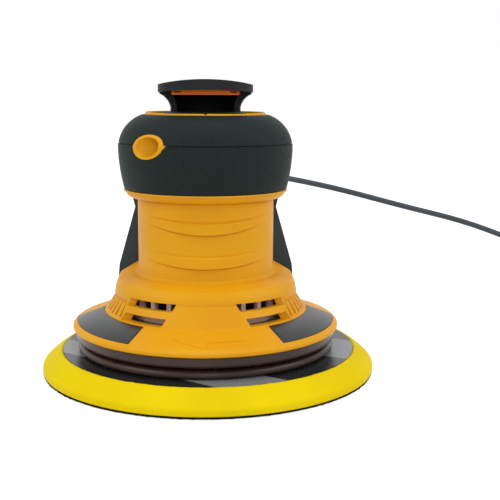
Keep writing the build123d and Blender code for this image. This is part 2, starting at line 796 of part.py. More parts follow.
def badge_patch(side, grow, low, high):
    """A sheet on the skirt's slope, from the slanted front edge round to the back."""
    run = RIM_R - RIM_ROUND - CREASE_R
    drop = SKIRT_H - RIM_H - RIM_ROUND
    length = sqrt(run * run + drop * drop)
    out = (drop / length, run / length)
    along = (run / length, -drop / length)
    first = BADGE_MARGIN - grow
    last = length - BADGE_MARGIN + grow
    corners = []
    for reach, lift in ((first, low), (last, low), (last, high), (first, high)):
        corners.append(
            (
                CREASE_R + along[0] * reach + out[0] * lift,
                CREASE_Z + along[1] * reach + out[1] * lift,
            )
        )
    arc = BADGE_BACK - BADGE_START
    edge_x = BADGE_FRONT_X - grow
    with BuildPart() as patch:
        with BuildSketch(Plane.XZ):
            with BuildLine():
                Polyline(*corners, close=True)
            make_face()
        revolve(axis=Axis.Z, revolution_arc=arc)
        front = Plane(
            origin=(edge_x, -36.0, 0),
            x_dir=(0, 0, 1),
            z_dir=(cos(radians(BADGE_SLANT)), sin(radians(BADGE_SLANT)), 0),
        )
        patch.part = patch.part.rotate(Axis.Z, BADGE_START - 90.0)
        split(bisect_by=front, keep=Keep.TOP)
        if side < 0:
            mirror(about=Plane.YZ, mode=Mode.REPLACE)
    return patch.part


ledge_z = STATOR_Z - 2.0
cavity_r = UPPER_BRACKET_R + SEAT
skirt_in = HOUSING_WALL + 0.2
with BuildPart() as cavity:
    with BuildSketch(Plane.XZ):
        with BuildLine():
            Polyline(
                (0, RIM_Z - 1.0),
                (RIM_R - skirt_in, RIM_Z - 1.0),
                (RIM_R - skirt_in, RIM_Z + 0.6),
                (BAFFLE_R + SEAT, CREASE_Z - HOUSING_WALL),
                (BAFFLE_R + SEAT, BAFFLE_TOP),
                (CREASE_R - HOUSING_WALL - 0.5, BAFFLE_TOP),
                (SHOULDER_R - HOUSING_WALL - 0.2, SHOULDER_Z - 0.2),
                (SHOULDER_R - HOUSING_WALL - 1.0, BRACKET_Z - 1.0),
                (BRACKET_R - 0.9, BRACKET_Z - 1.0),
                (BRACKET_R - 0.9, BRACKET_Z),
                (BRACKET_R + SEAT, BRACKET_Z),
                (BRACKET_R + SEAT, BRACKET_TOP),
                (NECK_BORE_R, NECK_Z - 2.3),
                (NECK_BORE_R, ledge_z),
                (NECK_BORE_R - STATOR_LEDGE, ledge_z),
                (NECK_BORE_R - STATOR_LEDGE, STATOR_Z),
                (NECK_BORE_R, STATOR_Z),
                (NECK_BORE_R, UPPER_BRACKET_Z),
                (cavity_r, UPPER_BRACKET_Z),
                (cavity_r, UPPER_BRACKET_TOP),
                (cavity_r - 0.8, UPPER_BRACKET_TOP),
                (cavity_r - 0.8, UPPER_BRACKET_TOP + 1.0),
                (GRIP_BELLY_R - GRIP_T - HOUSING_WALL, BELLY_Z),
                (GRIP_BELLY_R - GRIP_T - HOUSING_WALL, SEAM_Z),
                (DECK_R + 4.4, DECK_Z - 1.9 * DECK_T),
                (DECK_R - 0.5, DECK_Z - DECK_T),
                (0, DECK_Z - DECK_T),
                close=True,
            )
        make_face()
    revolve(axis=Axis.Z)

slot_foot = CREASE_Z
with BuildPart() as housing:
    with BuildSketch(Plane.XZ):
        with BuildLine():
            rim_start, flange_top = housing_edge(0)
            inner_foot, deck_rim = grip_edge(GRIP_T + SEAT)
            Line(flange_top, inner_foot)
            Polyline(
                deck_rim,
                (DECK_R - SEAT, deck_rim[1]),
                (DECK_R - SEAT, DECK_Z),
                (0, DECK_Z),
                (0, RIM_Z),
                rim_start,
            )
        make_face()
    revolve(axis=Axis.Z)
    for lift in BAND_LIFTS:
        with BuildSketch(Plane.XY.offset(NECK_Z + lift)):
            with Locations((0, -BAND_PROUD - BAND_CUT)):
                Circle(NECK_R - BAND_CUT)
        extrude(amount=BAND_T)
    add(cavity.part, mode=Mode.SUBTRACT)
    for lift, inner_x, back_y in zip(VENT_LIFTS, VENT_INNER_X, VENT_BACK_Y):
        for side in (-1, 1):
            with BuildSketch(Plane.XZ.offset(back_y)):
                with BuildLine():
                    Polyline(
                        (side * RIM_R, slot_foot + lift),
                        (side * RIM_R, slot_foot + lift + VENT_SLOT_H),
                        (side * inner_x, slot_foot + lift + VENT_SLOT_H),
                        (side * (inner_x + VENT_SLANT), slot_foot + lift),
                        close=True,
                    )
                make_face()
            extrude(amount=CREASE_R, mode=Mode.SUBTRACT)
    rib_r = (CREASE_R + SHOULDER_R) / 2 - RIB_DEPTH + 1.5
    for side in (-1, 1):
        for angle in RIB_ANGLES:
            turn = side * angle - 90.0
            spot = Location((0, 0, CREASE_Z + VENT_H / 2), (0, 0, turn)) * Location(
                (rib_r, 0, 0), (0, -25.5, 0)
            )
            with Locations(spot):
                Box(3.0, RIB_W, VENT_H - 1.4, mode=Mode.SUBTRACT)
    for side in (-1, 1):
        add(badge_patch(side, SLIDE_GAP, -BADGE_T, 2.0), mode=Mode.SUBTRACT)
    with BuildSketch(Plane.XY.offset(RIM_Z - 1.0)):
        with Locations((0, DUCT_Y)):
            Rectangle(DUCT_W + 2 * SEAT, DUCT_D + 2 * SEAT)
    extrude(amount=SKIRT_H + VENT_H, mode=Mode.SUBTRACT)
    with BuildSketch(Plane.XY.offset(DECK_Z - DECK_T - 1.0)):
        Circle(DECK_HOLE_R)
    extrude(amount=DECK_T + 2.0, mode=Mode.SUBTRACT)
    lug_h = DECK_Z - DECK_T - PIVOT_Z + PIN_R + 2.0
    for side in (-1, 1):
        lug_x = side * (DECK_HOLE_R + SLIDE_GAP + LUG_T / 2)
        with Locations((lug_x, PIVOT_Y, DECK_Z - DECK_T - lug_h / 2)):
            Box(LUG_T, LUG_W, lug_h)
    with Locations(Location((0, PIVOT_Y, PIVOT_Z), (0, 90, 0))):
        Cylinder(PIN_R + SEAT, 2 * (DECK_HOLE_R + 2 * LUG_T), mode=Mode.SUBTRACT)

# The grip's outer envelope trims the screw bosses and wells
with BuildPart() as grip_envelope:
    with BuildSketch(Plane.XZ):
        with BuildLine():
            foot, rim = grip_edge(-SEAT)
            Polyline(rim, (0, rim[1]), (0, FLANGE_Z), foot)
        make_face()
    revolve(axis=Axis.Z)

with BuildPart() as grip_core:
    with BuildSketch(Plane.XZ):
        with BuildLine():
            foot, rim = grip_edge(GRIP_T + SEAT)
            Polyline(rim, (0, rim[1]), (0, FLANGE_Z), foot)
        make_face()
    revolve(axis=Axis.Z)


def side_bar(y, z, radius, length, within):
    """A round bar along X from the middle, trimmed to the form it stands in."""
    with BuildPart() as bar:
        with BuildSketch(Plane.YZ):
            with Locations((y, z)):
                Circle(radius)
        extrude(amount=length)
        add(within, mode=Mode.INTERSECT)
    return bar.part


with BuildPart() as housing_left:
    add(housing.part)
    split(bisect_by=Plane.YZ, keep=Keep.BOTTOM)
    for side in (-1, 1):
        add(side_bar(side * WELL_Y, WELL_Z, WELL_R + WELL_WALL, -GRIP_BELLY_R, grip_envelope.part))
        with BuildSketch(Plane.YZ.offset(-WELL_SEAT_X)):
            with Locations((side * WELL_Y, WELL_Z)):
                Circle(WELL_R)
        extrude(amount=-GRIP_BELLY_R, mode=Mode.SUBTRACT)
        with BuildSketch(Plane.YZ):
            with Locations((side * WELL_Y, WELL_Z)):
                Circle(SCREW_R + SEAT)
        extrude(amount=-WELL_SEAT_X, mode=Mode.SUBTRACT)
keep("housing_left", housing_left)

with BuildPart() as housing_right:
    add(housing.part)
    split(bisect_by=Plane.YZ, keep=Keep.TOP)
    for side in (-1, 1):
        add(side_bar(side * WELL_Y, WELL_Z, BOSS_R, GRIP_BELLY_R, grip_core.part))
        with BuildSketch(Plane.YZ):
            with Locations((side * WELL_Y, WELL_Z)):
                Circle(SCREW_R + SEAT)
        extrude(amount=SCREW_GRIP + 1.0, mode=Mode.SUBTRACT)
keep("housing_right", housing_right)

with BuildPart() as housing_screws:
    for side in (-1, 1):
        with BuildSketch(Plane.YZ.offset(-WELL_SEAT_X)):
            with Locations((side * WELL_Y, WELL_Z)):
                Circle(SCREW_HEAD_R)
        extrude(amount=-SCREW_HEAD_T)
        with BuildSketch(Plane.YZ.offset(-WELL_SEAT_X)):
            with Locations((side * WELL_Y, WELL_Z)):
                Circle(SCREW_R)
        extrude(amount=WELL_SEAT_X + SCREW_GRIP)
keep("housing_screws", housing_screws)

with BuildPart() as grip_cover:
    with BuildSketch(Plane.XZ):
        with BuildLine():
            outer_foot, outer_rim = grip_edge(0)
            under_foot, under_rim = grip_edge(GRIP_T)
            Line(outer_foot, under_foot)
            Line(outer_rim, under_rim)
        make_face()
    revolve(axis=Axis.Z)
    for side in (-1, 1):
        with BuildSketch(Plane.YZ):
            with Locations((side * WELL_Y, WELL_Z)):
                Circle(WELL_R + WELL_WALL + SEAT)
        extrude(amount=-GRIP_BELLY_R - 1.0, mode=Mode.SUBTRACT)
keep("grip_cover", grip_cover)

for name, side in (("badge_left", -1), ("badge_right", 1)):
    with BuildPart() as badge:
        add(badge_patch(side, 0, -BADGE_T + SEAT, 0))
    keep(name, badge)

# Brake skirt: a rubber bellows from the rim down to the plate
bellows_foot = PAD_TOP + SLIDE_GAP
low_top = bellows_foot + BELLOWS_LOW_H
waist_r = (BELLOWS_R + BELLOWS_LOW_R) / 2 - BELLOWS_WAIST_IN
waist_z = (low_top + RIM_Z - BELLOWS_FOLD_H) / 2
with BuildPart() as brake_skirt:
    with BuildSketch(Plane.XZ):
        with BuildLine():
            Polyline(
                (BELLOWS_R - BELLOWS_IN, RIM_Z),
                (BELLOWS_R - 0.7, RIM_Z),
                (BELLOWS_R, RIM_Z - 1.0),
                (BELLOWS_R, RIM_Z - BELLOWS_FOLD_H + 0.8),
                (BELLOWS_R - 0.8, RIM_Z - BELLOWS_FOLD_H),
                (waist_r, waist_z),
                (BELLOWS_LOW_R - 0.8, low_top),
                (BELLOWS_LOW_R, low_top - 0.8),
                (BELLOWS_LOW_R, bellows_foot + 0.8),
                (BELLOWS_LOW_R - 0.8, bellows_foot),
                (BELLOWS_LOW_R - BELLOWS_IN, bellows_foot),
                (BELLOWS_LOW_R - BELLOWS_IN, bellows_foot + 1.0),
                (BELLOWS_LOW_R - BELLOWS_WALL, bellows_foot + 1.2),
                (BELLOWS_LOW_R - BELLOWS_WALL, low_top - 1.3),
                (waist_r - BELLOWS_WALL, waist_z),
                (BELLOWS_R - BELLOWS_WALL, RIM_Z - BELLOWS_FOLD_H + 1.4),
                (BELLOWS_R - BELLOWS_WALL, RIM_Z - BELLOWS_WALL),
                (BELLOWS_R - BELLOWS_IN, RIM_Z - BELLOWS_WALL),
                close=True,
            )
        make_face()
    revolve(axis=Axis.Z)
keep("brake_skirt", brake_skirt)

# Lever: a crowned paddle on a spool that rocks on a pin under the deck
sweep_w = 0.65 * LEVER_W
sweep_sag = sweep_w**2 / (2 * LEVER_CROWN)
cap_sag = (LEVER_W / 2) ** 2 / (2 * LEVER_CROWN)
flare_z = LEVER_Z - cap_sag - 0.1
with BuildPart() as lever_cap:
    with BuildSketch(Plane.XZ):
        with BuildLine():
            low_side = LEVER_Z - sweep_sag
            high_side = low_side + LEVER_T
            low = ThreePointArc((-sweep_w, low_side), (0, LEVER_Z), (sweep_w, low_side))
            high = ThreePointArc((-sweep_w, high_side), (0, LEVER_Z + LEVER_T), (sweep_w, high_side))
            Line(low @ 0, high @ 0)
            Line(low @ 1, high @ 1)
        make_face()
    extrude(amount=LEVER_FRONT + LEVER_BACK, both=True)
    with BuildSketch(Plane.XY.offset(LEVER_Z - 2 * cap_sag)):
        with Locations((0, (LEVER_BACK - LEVER_FRONT) / 2)):
            RectangleRounded(LEVER_W, LEVER_FRONT + LEVER_BACK, LEVER_CORNER)
    extrude(amount=2 * cap_sag + 2 * LEVER_T, mode=Mode.INTERSECT)
    crowns = lever_cap.faces().sort_by(SortBy.AREA)[-2:]
    fillet(crowns[0].edges() + crowns[1].edges(), radius=LEVER_EDGE)

with BuildPart() as lever:
    with BuildSketch(Plane.XZ):
        with BuildLine():
            bore = SPOOL_R - SPOOL_WALL
            waist_top = COLLAR_TOP + 1.2
            spool_top = LEVER_Z + LEVER_T / 6
            bend_z = waist_top + 0.62 * (flare_z - waist_top)
            flare_bend = (SPOOL_R + 0.3 * (LEVER_FLARE_R - SPOOL_R), bend_z)
            throat_bend = (bore + 0.3 * (LEVER_THROAT_R - bore), bend_z)
            Polyline((bore, waist_top), (bore, SPOOL_Z), (SPOOL_R, SPOOL_Z), (SPOOL_R, waist_top))
            ThreePointArc((SPOOL_R, waist_top), flare_bend, (LEVER_FLARE_R, flare_z))
            Polyline(
                (LEVER_FLARE_R, flare_z),
                (LEVER_FLARE_R, spool_top),
                (LEVER_THROAT_R, spool_top),
                (LEVER_THROAT_R, flare_z),
            )
            ThreePointArc((LEVER_THROAT_R, flare_z), throat_bend, (bore, waist_top))
        make_face()
    revolve(axis=Axis.Z)
    with BuildSketch(Plane.XY.offset(LEVER_FLOOR_Z)):
        Circle(SPOOL_R - SPOOL_WALL / 2)
    extrude(amount=LEVER_FLOOR_T)
    mouth_z = LEVER_FLOOR_Z + LEVER_FLOOR_T
    with BuildSketch(Plane.XZ.offset(-LEVER_MOUTH_Y)):
        with Locations((0, (mouth_z + spool_top) / 2)):
            Rectangle(LEVER_W, spool_top - mouth_z)
    extrude(amount=LEVER_FRONT, mode=Mode.SUBTRACT)
    add(lever_cap.part)
    with Locations(Location((0, PIVOT_Y, PIVOT_Z), (0, 90, 0))):
        Cylinder(PIN_R + SEAT, 2 * DECK_HOLE_R, mode=Mode.SUBTRACT)
    with BuildSketch(Plane.XY.offset(LEVER_FLOOR_Z)):
        with Locations((0, SENSOR_Y)):
            Circle(MAGNET_R + SEAT)
    extrude(amount=MAGNET_H, mode=Mode.SUBTRACT)
keep("lever", lever)

with BuildPart() as lever_insert:
    with Locations((0, INSERT_Y, LEVER_Z - INSERT[2] / 2 + 0.4)):
        Box(INSERT[0], INSERT[1], INSERT[2])
    add(lever.part, mode=Mode.SUBTRACT)
lever_insert.part = lever_insert.part.solids().sort_by(SortBy.VOLUME)[-1]
pieces["lever_insert"] = lever_insert.part

with BuildPart() as lever_magnet:
    with BuildSketch(Plane.XY.offset(LEVER_FLOOR_Z)):
        with Locations((0, SENSOR_Y)):
            Circle(MAGNET_R)
    extrude(amount=MAGNET_H)
keep("lever_magnet", lever_magnet)

with BuildPart() as lever_pin:
    with Locations(Location((0, PIVOT_Y, PIVOT_Z), (0, 90, 0))):
        Cylinder(PIN_R, 2 * (DECK_HOLE_R + SLIDE_GAP + LUG_T))
keep("lever_pin", lever_pin)

collar_in = DECK_HOLE_R
lever_collar = turned(
    [
        (collar_in, DECK_Z),
        (COLLAR_FOOT_R, DECK_Z),
        (COLLAR_FOOT_R - 0.4, DECK_Z + 0.8),
        (collar_in + 1.4, COLLAR_TOP - 1.2),
        (collar_in + COLLAR_WALL, COLLAR_TOP),
        (collar_in, COLLAR_TOP),
    ]
)
keep("lever_collar", lever_collar)


def climb(start, centre, radius, rise, way):
    """Draw a half turn about centre that climbs by rise, as two quarter arcs that meet smoothly."""
    swell = sqrt(radius * radius + rise * rise / 4)
    side = 1 if start[0] > centre[0] else -1
    middle = (centre[0], centre[1] + way * side * swell, start[2] + rise / 2)
    end = (2 * centre[0] - start[0], start[1], start[2] + rise)
    TangentArc(start, middle, tangent=(0, way * side, 0))
    TangentArc(middle, end, tangent=(-2 * side * radius, 0, rise))
    return end


spring_low = COVER_TOP + SPRING_WIRE_R
spring_rise = (LEVER_FLOOR_Z - COVER_TOP - 2 * SPRING_WIRE_R - SLIDE_GAP) / (2 * SPRING_TURNS)
with BuildPart() as lever_spring:
    with BuildLine() as spring_line:
        spot = (SPRING_R, SPRING_Y, spring_low)
        for half in range(2 * SPRING_TURNS):
            spot = climb(spot, (0, SPRING_Y), SPRING_R, spring_rise, -1)
    spring_path = spring_line.wire()
    with BuildSketch(Plane(origin=spring_path @ 0, z_dir=spring_path % 0)):
        Circle(SPRING_WIRE_R)
    sweep(path=spring_path)
keep("lever_spring", lever_spring)

# Tail: a hollow black shell in two halves that saddles the neck and the skirt
tail_sections = (
    (TAIL_FRONT_Y, (42.0, RIM_Z + 4.0), (40.3, RIM_Z + 25.0), (32.6, RIM_Z + 52.0), (34.5, RIM_Z + 60.0)),
    (TAIL_MID_Y, (27.0, RIM_Z + 2.0), (27.0, RIM_Z + 25.0), (25.0, RIM_Z + 52.0), (25.0, TAIL_TOP)),
    (TAIL_BACK_Y, (19.0, RIM_Z + 12.0), (20.0, RIM_Z + 30.0), (20.0, RIM_Z + 52.0), (19.0, TAIL_TOP)),
)


def tail_block(inset):
    """The tail's form, lofted through its sections, moved inwards by inset."""
    with BuildPart() as block:
        for y, *corners in tail_sections:
            place = min(max(y, TAIL_FRONT_Y + inset), TAIL_BACK_Y - inset)
            ring = [(half - inset, height) for half, height in corners]
            ring[0] = (ring[0][0], corners[0][1] + inset)
            ring[-1] = (ring[-1][0], corners[-1][1] - inset)
            other = [(-half, height) for half, height in reversed(ring)]
            with BuildSketch(Plane.XZ.offset(-place)):
                with BuildLine():
                    Polyline(*ring, *other, close=True)
                make_face()
        loft(ruled=True)
    return block


with BuildPart() as saddle:
    with BuildSketch(Plane.XZ):
        with BuildLine():
            low_start, low_end = housing_edge(TAIL_GAP)
            grip_foot, grip_rim = grip_edge(-TAIL_GAP)
            Polyline(grip_rim, (0, grip_rim[1]), (0, low_start[1]), low_start)
        make_face()
    revolve(axis=Axis.Z)

high_screw_z = TAIL_TOP - TAIL_SCREW_HIGH
tail_screw_spots = tuple(zip(TAIL_SCREW_Y, (RIM_Z + TAIL_SCREW_LOW, high_screw_z, high_screw_z)))
flange_low = TAIL_TOP - TAIL_WALL - SEAT - BUTTON_FLANGE_T
board_face = flange_low - BUTTON_TRAVEL - SLIDE_GAP - SWITCH_T
board_z = board_face - CONTROL_BOARD[2]


def board_shelf():
    """Two ledges that the control board rests on."""
    with BuildPart() as shelf:
        add(tail_block(0).part)
        with Locations((0, PANEL_Y, board_z - SHELF_T / 2)):
            Box(4 * CONTROL_BOARD[0], 0.8 * CONTROL_BOARD[1], SHELF_T, mode=Mode.INTERSECT)
        with Locations((0, PANEL_Y, board_z - SHELF_T / 2)):
            Box(CONTROL_BOARD[0] - 2 * SHELF_W, CONTROL_BOARD[1], SHELF_T, mode=Mode.SUBTRACT)
    return shelf


outlet_front = TAIL_BACK_Y + OUTLET_OUT - OUTLET_L
with BuildPart() as tail:
    add(tail_block(0).part)
    add(tail_block(TAIL_WALL).part, mode=Mode.SUBTRACT)
    add(board_shelf().part)
    for y, z in tail_screw_spots:
        for reach in (-50.0, 50.0):
            add(side_bar(y, z, BOSS_R, reach, tail_block(0).part))
    add(saddle.part, mode=Mode.SUBTRACT)
    with BuildSketch(Plane.XZ.offset(-TAIL_BACK_Y - 1.0)):
        with Locations((0, OUTLET_Z)):
            Circle(OUTLET_NECK_R + SEAT)
        with Locations((0, GLAND_Z)):
            Circle(GLAND_R + SEAT)
    extrude(amount=TAIL_WALL + 4.0, mode=Mode.SUBTRACT)
    with BuildSketch(Plane.XY.offset(TAIL_TOP + 1.0)):
        for y, r in zip(BUTTON_Y, BUTTON_R):
            with Locations((0, y)):
                Circle(r + SLIDE_GAP)
    extrude(amount=-TAIL_WALL - 2.0, mode=Mode.SUBTRACT)
    for y, z in tail_screw_spots:
        with BuildSketch(Plane.YZ):
            with Locations((y, z)):
                Circle(SCREW_R + SEAT)
        extrude(amount=SCREW_GRIP, both=True, mode=Mode.SUBTRACT)
        with BuildSketch(Plane.YZ.offset(-TAIL_BOSS_SEAT)):
            with Locations((y, z)):
                Circle(SCREW_HEAD_R + SLIDE_GAP)
        extrude(amount=-40.0, mode=Mode.SUBTRACT)
    with Locations((0, DUCT_Y, RIM_Z + 6.0)):
        Box(DUCT_W + 2 * TAIL_GAP, DUCT_D + 2 * TAIL_GAP, 16.0, mode=Mode.SUBTRACT)

for name, side in (("tail_left", Keep.BOTTOM), ("tail_right", Keep.TOP)):
    with BuildPart() as half:
        add(tail.part)
        split(bisect_by=Plane.YZ, keep=side)
    keep(name, half)

with BuildPart() as tail_screws:
    for y, z in tail_screw_spots:
        with BuildSketch(Plane.YZ.offset(-TAIL_BOSS_SEAT)):
            with Locations((y, z)):
                Circle(SCREW_HEAD_R)
        extrude(amount=-SCREW_HEAD_T)
        with BuildSketch(Plane.YZ.offset(-TAIL_BOSS_SEAT)):
            with Locations((y, z)):
                Circle(SCREW_R)
        extrude(amount=TAIL_BOSS_SEAT + SCREW_GRIP - 1.0)
keep("tail_screws", tail_screws)

# Dust path: a chimney out of the skirt, a tube through the tail and the hose outlet
duct_foot = RIM_Z + 1.6
duct_top = OUTLET_Z + DUCT_TUBE_R + DUCT_WALL
with BuildPart() as dust_duct:
    with Locations((0, DUCT_Y, (duct_foot + duct_top) / 2)):
        Box(DUCT_W, DUCT_D, duct_top - duct_foot)
    with BuildSketch(Plane.XZ.offset(-DUCT_Y)):
        with Locations((0, OUTLET_Z)):
            Circle(DUCT_TUBE_R)
    extrude(amount=-(outlet_front - DUCT_Y))
    with Locations((0, DUCT_Y, (duct_foot + duct_top) / 2 - DUCT_WALL)):
        Box(DUCT_W - 2 * DUCT_WALL, DUCT_D - 2 * DUCT_WALL, duct_top - duct_foot, mode=Mode.SUBTRACT)
    with BuildSketch(Plane.XZ.offset(-DUCT_Y)):
        with Locations((0, OUTLET_Z)):
            Circle(DUCT_BORE_R)
    extrude(amount=-(outlet_front - DUCT_Y), mode=Mode.SUBTRACT)
keep("dust_duct", dust_duct)

with BuildPart() as dust_outlet:
    with BuildSketch(Plane.XZ.offset(-outlet_front)):
        with Locations((0, OUTLET_Z)):
            Circle(OUTLET_NECK_R)
    extrude(amount=-(TAIL_BACK_Y - outlet_front))
    with BuildSketch(Plane.XZ.offset(-TAIL_BACK_Y)):
        with Locations((0, OUTLET_Z)):
            Circle(OUTLET_R)
    extrude(amount=-OUTLET_OUT)
    with BuildSketch(Plane.XZ.offset(-(TAIL_BACK_Y - TAIL_WALL))):
        with Locations((0, OUTLET_Z)):
            Circle(OUTLET_FLANGE_R)
    extrude(amount=OUTLET_FLANGE_T)
    with BuildSketch(Plane.XZ.offset(-outlet_front)):
        with Locations((0, OUTLET_Z)):
            Circle(OUTLET_BORE_R)
    extrude(amount=-OUTLET_L, mode=Mode.SUBTRACT)
keep("dust_outlet", dust_outlet)

# Controls on top of the tail
with BuildPart() as control_panel:
    with BuildSketch(Plane.XY.offset(TAIL_TOP)):
        with Locations((0, PANEL_Y)):
            RectangleRounded(PANEL[0], PANEL[1], 4.0)
        for y, r in zip(BUTTON_Y, BUTTON_R):
            with Locations((0, y)):
                Circle(r + SLIDE_GAP, mode=Mode.SUBTRACT)
    extrude(amount=PANEL[2])
keep("control_panel", control_panel)

button_top = TAIL_TOP + PANEL[2] + BUTTON_PROUD
flange_top_z = flange_low + BUTTON_FLANGE_T
for name, y, r in zip(("power_button", "speed_up_button", "speed_down_button"), BUTTON_Y, BUTTON_R):
    with BuildPart() as button:
        with BuildSketch(Plane.XY.offset(flange_top_z)):
            with Locations((0, y)):
                Circle(r)
        extrude(amount=button_top - flange_top_z)
        fillet(button.faces().sort_by(Axis.Z)[-1].edges(), radius=0.7)
        with BuildSketch(Plane.XY.offset(flange_top_z)):
            with Locations((0, y)):
                Circle(r + BUTTON_FLANGE_W)
        extrude(amount=-BUTTON_FLANGE_T)
    keep(name, button)

with BuildPart() as control_board:
    with Locations((0, PANEL_Y, board_z + CONTROL_BOARD[2] / 2)):
        Box(*CONTROL_BOARD)
keep("control_board", control_board)

with BuildPart() as control_switches:
    for y in BUTTON_Y:
        with Locations((0, y, board_face + SWITCH_T / 2)):
            Box(6.0, 6.0, SWITCH_T)
keep("control_switches", control_switches)

# Strain relief: a grooved rubber sleeve that tapers along the lead
with BuildPart() as strain_relief:
    with BuildSketch(Plane.XY):
        with BuildLine():
            wall_y = TAIL_BACK_Y - TAIL_WALL
            outline = [
                (0, wall_y - GLAND_FLANGE_T),
                (GLAND_FLANGE_R, wall_y - GLAND_FLANGE_T),
                (GLAND_FLANGE_R, wall_y),
                (GLAND_R, wall_y),
            ]
            pitch = GLAND_OUT / (GLAND_GROOVES + 1)
            for groove in range(1, GLAND_GROOVES + 1):
                y = TAIL_BACK_Y + groove * pitch
                r = GLAND_R + (GLAND_TIP_R - GLAND_R) * groove / (GLAND_GROOVES + 1)
                outline += [(r, y - 0.9), (r - 0.8, y - 0.6), (r - 0.8, y + 0.6), (r, y + 0.9)]
            outline += [(GLAND_TIP_R, GLAND_END), (0, GLAND_END)]
            Polyline(*outline, close=True)
        make_face()
    revolve(axis=Axis.Y)
strain_relief.part = strain_relief.part.moved(Location((0, 0, GLAND_Z)))
keep("strain_relief", strain_relief)

# Mains lead: out of the tail, down to the floor on the right, a tied coil and a plug
coil_x, coil_y = COIL_CENTRE
coil_enter = (coil_x + COIL_OUT_R, coil_y + 2 * CORD_R, COIL_Z)
lead_route = [
    (0, GLAND_END, GLAND_Z),
    (0, GLAND_END + 24, GLAND_Z),
    (11, 210, GLAND_Z - 2.0),
    (33, 228, GLAND_Z - 5.8),
    (62, 236, 65),
    (98, 240, 57),
    (142, 243, 45),
    (188, 246, 33.8),
    (222, 238, 21.5),
    (246, 222, 12),
    (259.5, 198, 5.6),
    (coil_enter[0], 172, COIL_Z),
    coil_enter,
]


def lead_radii(points):
    """The largest arc that each corner's two runs leave room for."""
    radii = []
    for before, corner, after in zip(points, points[1:], points[2:]):
        one = Vector(corner) - Vector(before)
        two = Vector(after) - Vector(corner)
        half_turn = radians(one.get_angle(two)) / 2
        radii.append(0.45 * min(one.length, two.length) / tan(half_turn))
    return radii


def cord_tube(points, name):
    """A round cord along straight runs and tangent arcs."""
    radii = lead_radii(points)
    with BuildPart() as tube:
        with BuildLine() as route:
            FilletPolyline(*points, radius=radii)
        path = route.wire()
        with BuildSketch(Plane(origin=path @ 0, z_dir=path % 0)):
            Circle(CORD_R)
        sweep(path=path)
    print(name, "radii", [round(r) for r in radii], "length", round(path.length, 1))
    print(name, "volume over section times length", tube.part.volume / (pi * CORD_R**2 * path.length))
    return tube


keep("cord_lead", cord_tube(lead_route, "cord_lead"))

with BuildPart() as cord_coil:
    with BuildLine() as coil_line:
        spot = (coil_x + COIL_OUT_R, coil_y, COIL_Z)
        Line(coil_enter, spot)
        inwards = True
        for layer, halves in enumerate(COIL_HALF_TURNS):
            for half in range(halves):
                side = 1 if spot[0] > coil_x else -1
                reach = abs(spot[0] - coil_x) + (-COIL_STEP if inwards else COIL_STEP)
                end = (coil_x - side * reach, coil_y, spot[2])
                TangentArc(spot, end, tangent=(0, -side, 0))
                spot = end
            if layer + 1 < len(COIL_HALF_TURNS):
                reach = abs(spot[0] - coil_x)
                spot = climb(spot, (coil_x, coil_y), reach, COIL_LAYER, -1)
                inwards = not inwards
        coil_leave = (spot[0], spot[1] - 2 * CORD_R, spot[2])
        Line(spot, coil_leave)
    coil_path = coil_line.wire()
    with BuildSketch(Plane(origin=coil_path @ 0, z_dir=coil_path % 0)):
        Circle(CORD_R)
    sweep(path=coil_path)
coil_length = coil_path.length
samples = [coil_path.position_at(i / 900) for i in range(901)]
spots = [(p.X, p.Y, p.Z) for p in samples]
skip = int(3 * 2 * CORD_R / coil_length * 900) + 1
least = min(dist(a, b) for i, a in enumerate(spots) for b in spots[i + skip :])
print("cord_coil length", round(coil_length, 1), "least gap to itself", round(least - 2 * CORD_R, 2))
print("cord_coil volume over section times length", cord_coil.part.volume / (pi * CORD_R**2 * coil_length))
keep("cord_coil", cord_coil)

plug_x = coil_leave[0]
plug_y = 50.0
plug_z = PLUG[2] / 2
end_route = [
    coil_leave,
    (plug_x, coil_y - 30, coil_leave[2]),
    (plug_x + 0.6, coil_y - 54, coil_leave[2] - 5.2),
    (plug_x, coil_y - 74, plug_z),
    (plug_x, plug_y, plug_z),
]
keep("cord_end", cord_tube(end_route, "cord_end"))

with BuildPart() as cord_tie:
    coil_top = COIL_Z + 3 * COIL_LAYER + CORD_R
    tie_low_x = coil_x - COIL_OUT_R - CORD_R - TIE_GAP
    tie_high_x = coil_x - sqrt((COIL_IN_R - CORD_R) ** 2 - (TIE_W / 2) ** 2) + TIE_GAP
    tie_mid = ((tie_low_x + tie_high_x) / 2, (TIE_T + coil_top + TIE_GAP) / 2)
    tie_w = tie_high_x - tie_low_x
    tie_h = coil_top + TIE_GAP - TIE_T
    with BuildSketch(Plane.XZ.offset(-coil_y - TIE_W / 2)):
        with Locations(tie_mid):
            RectangleRounded(tie_w + 2 * TIE_T, tie_h + 2 * TIE_T, 2.0)
            RectangleRounded(tie_w, tie_h, 2.0 - TIE_T, mode=Mode.SUBTRACT)
    extrude(amount=TIE_W)
keep("cord_tie", cord_tie)

with BuildPart() as plug_body:
    with Locations((plug_x, plug_y - PLUG_NECK_L - (PLUG[1] - PLUG_NECK_L) / 2, plug_z)):
        Box(PLUG[0], PLUG[1] - PLUG_NECK_L, PLUG[2])
    long_edges = plug_body.edges().filter_by(Axis.Y)
    fillet(long_edges, radius=0.42 * PLUG[2])
    with BuildSketch(Plane.XZ.offset(-plug_y)):
        with Locations((plug_x, plug_z)):
            Circle(PLUG_NECK_R)
    extrude(amount=PLUG_NECK_L + 1.0)
    with BuildSketch(Plane.XZ.offset(-(plug_y - PLUG[1]))):
        for side in (-1, 1):
            with Locations((plug_x + side * PLUG_PIN_SPACING / 2, plug_z)):
                Circle(PLUG_ROOT_R + SEAT)
    extrude(amount=-PLUG_ROOT_L, mode=Mode.SUBTRACT)
keep("plug_body", plug_body)

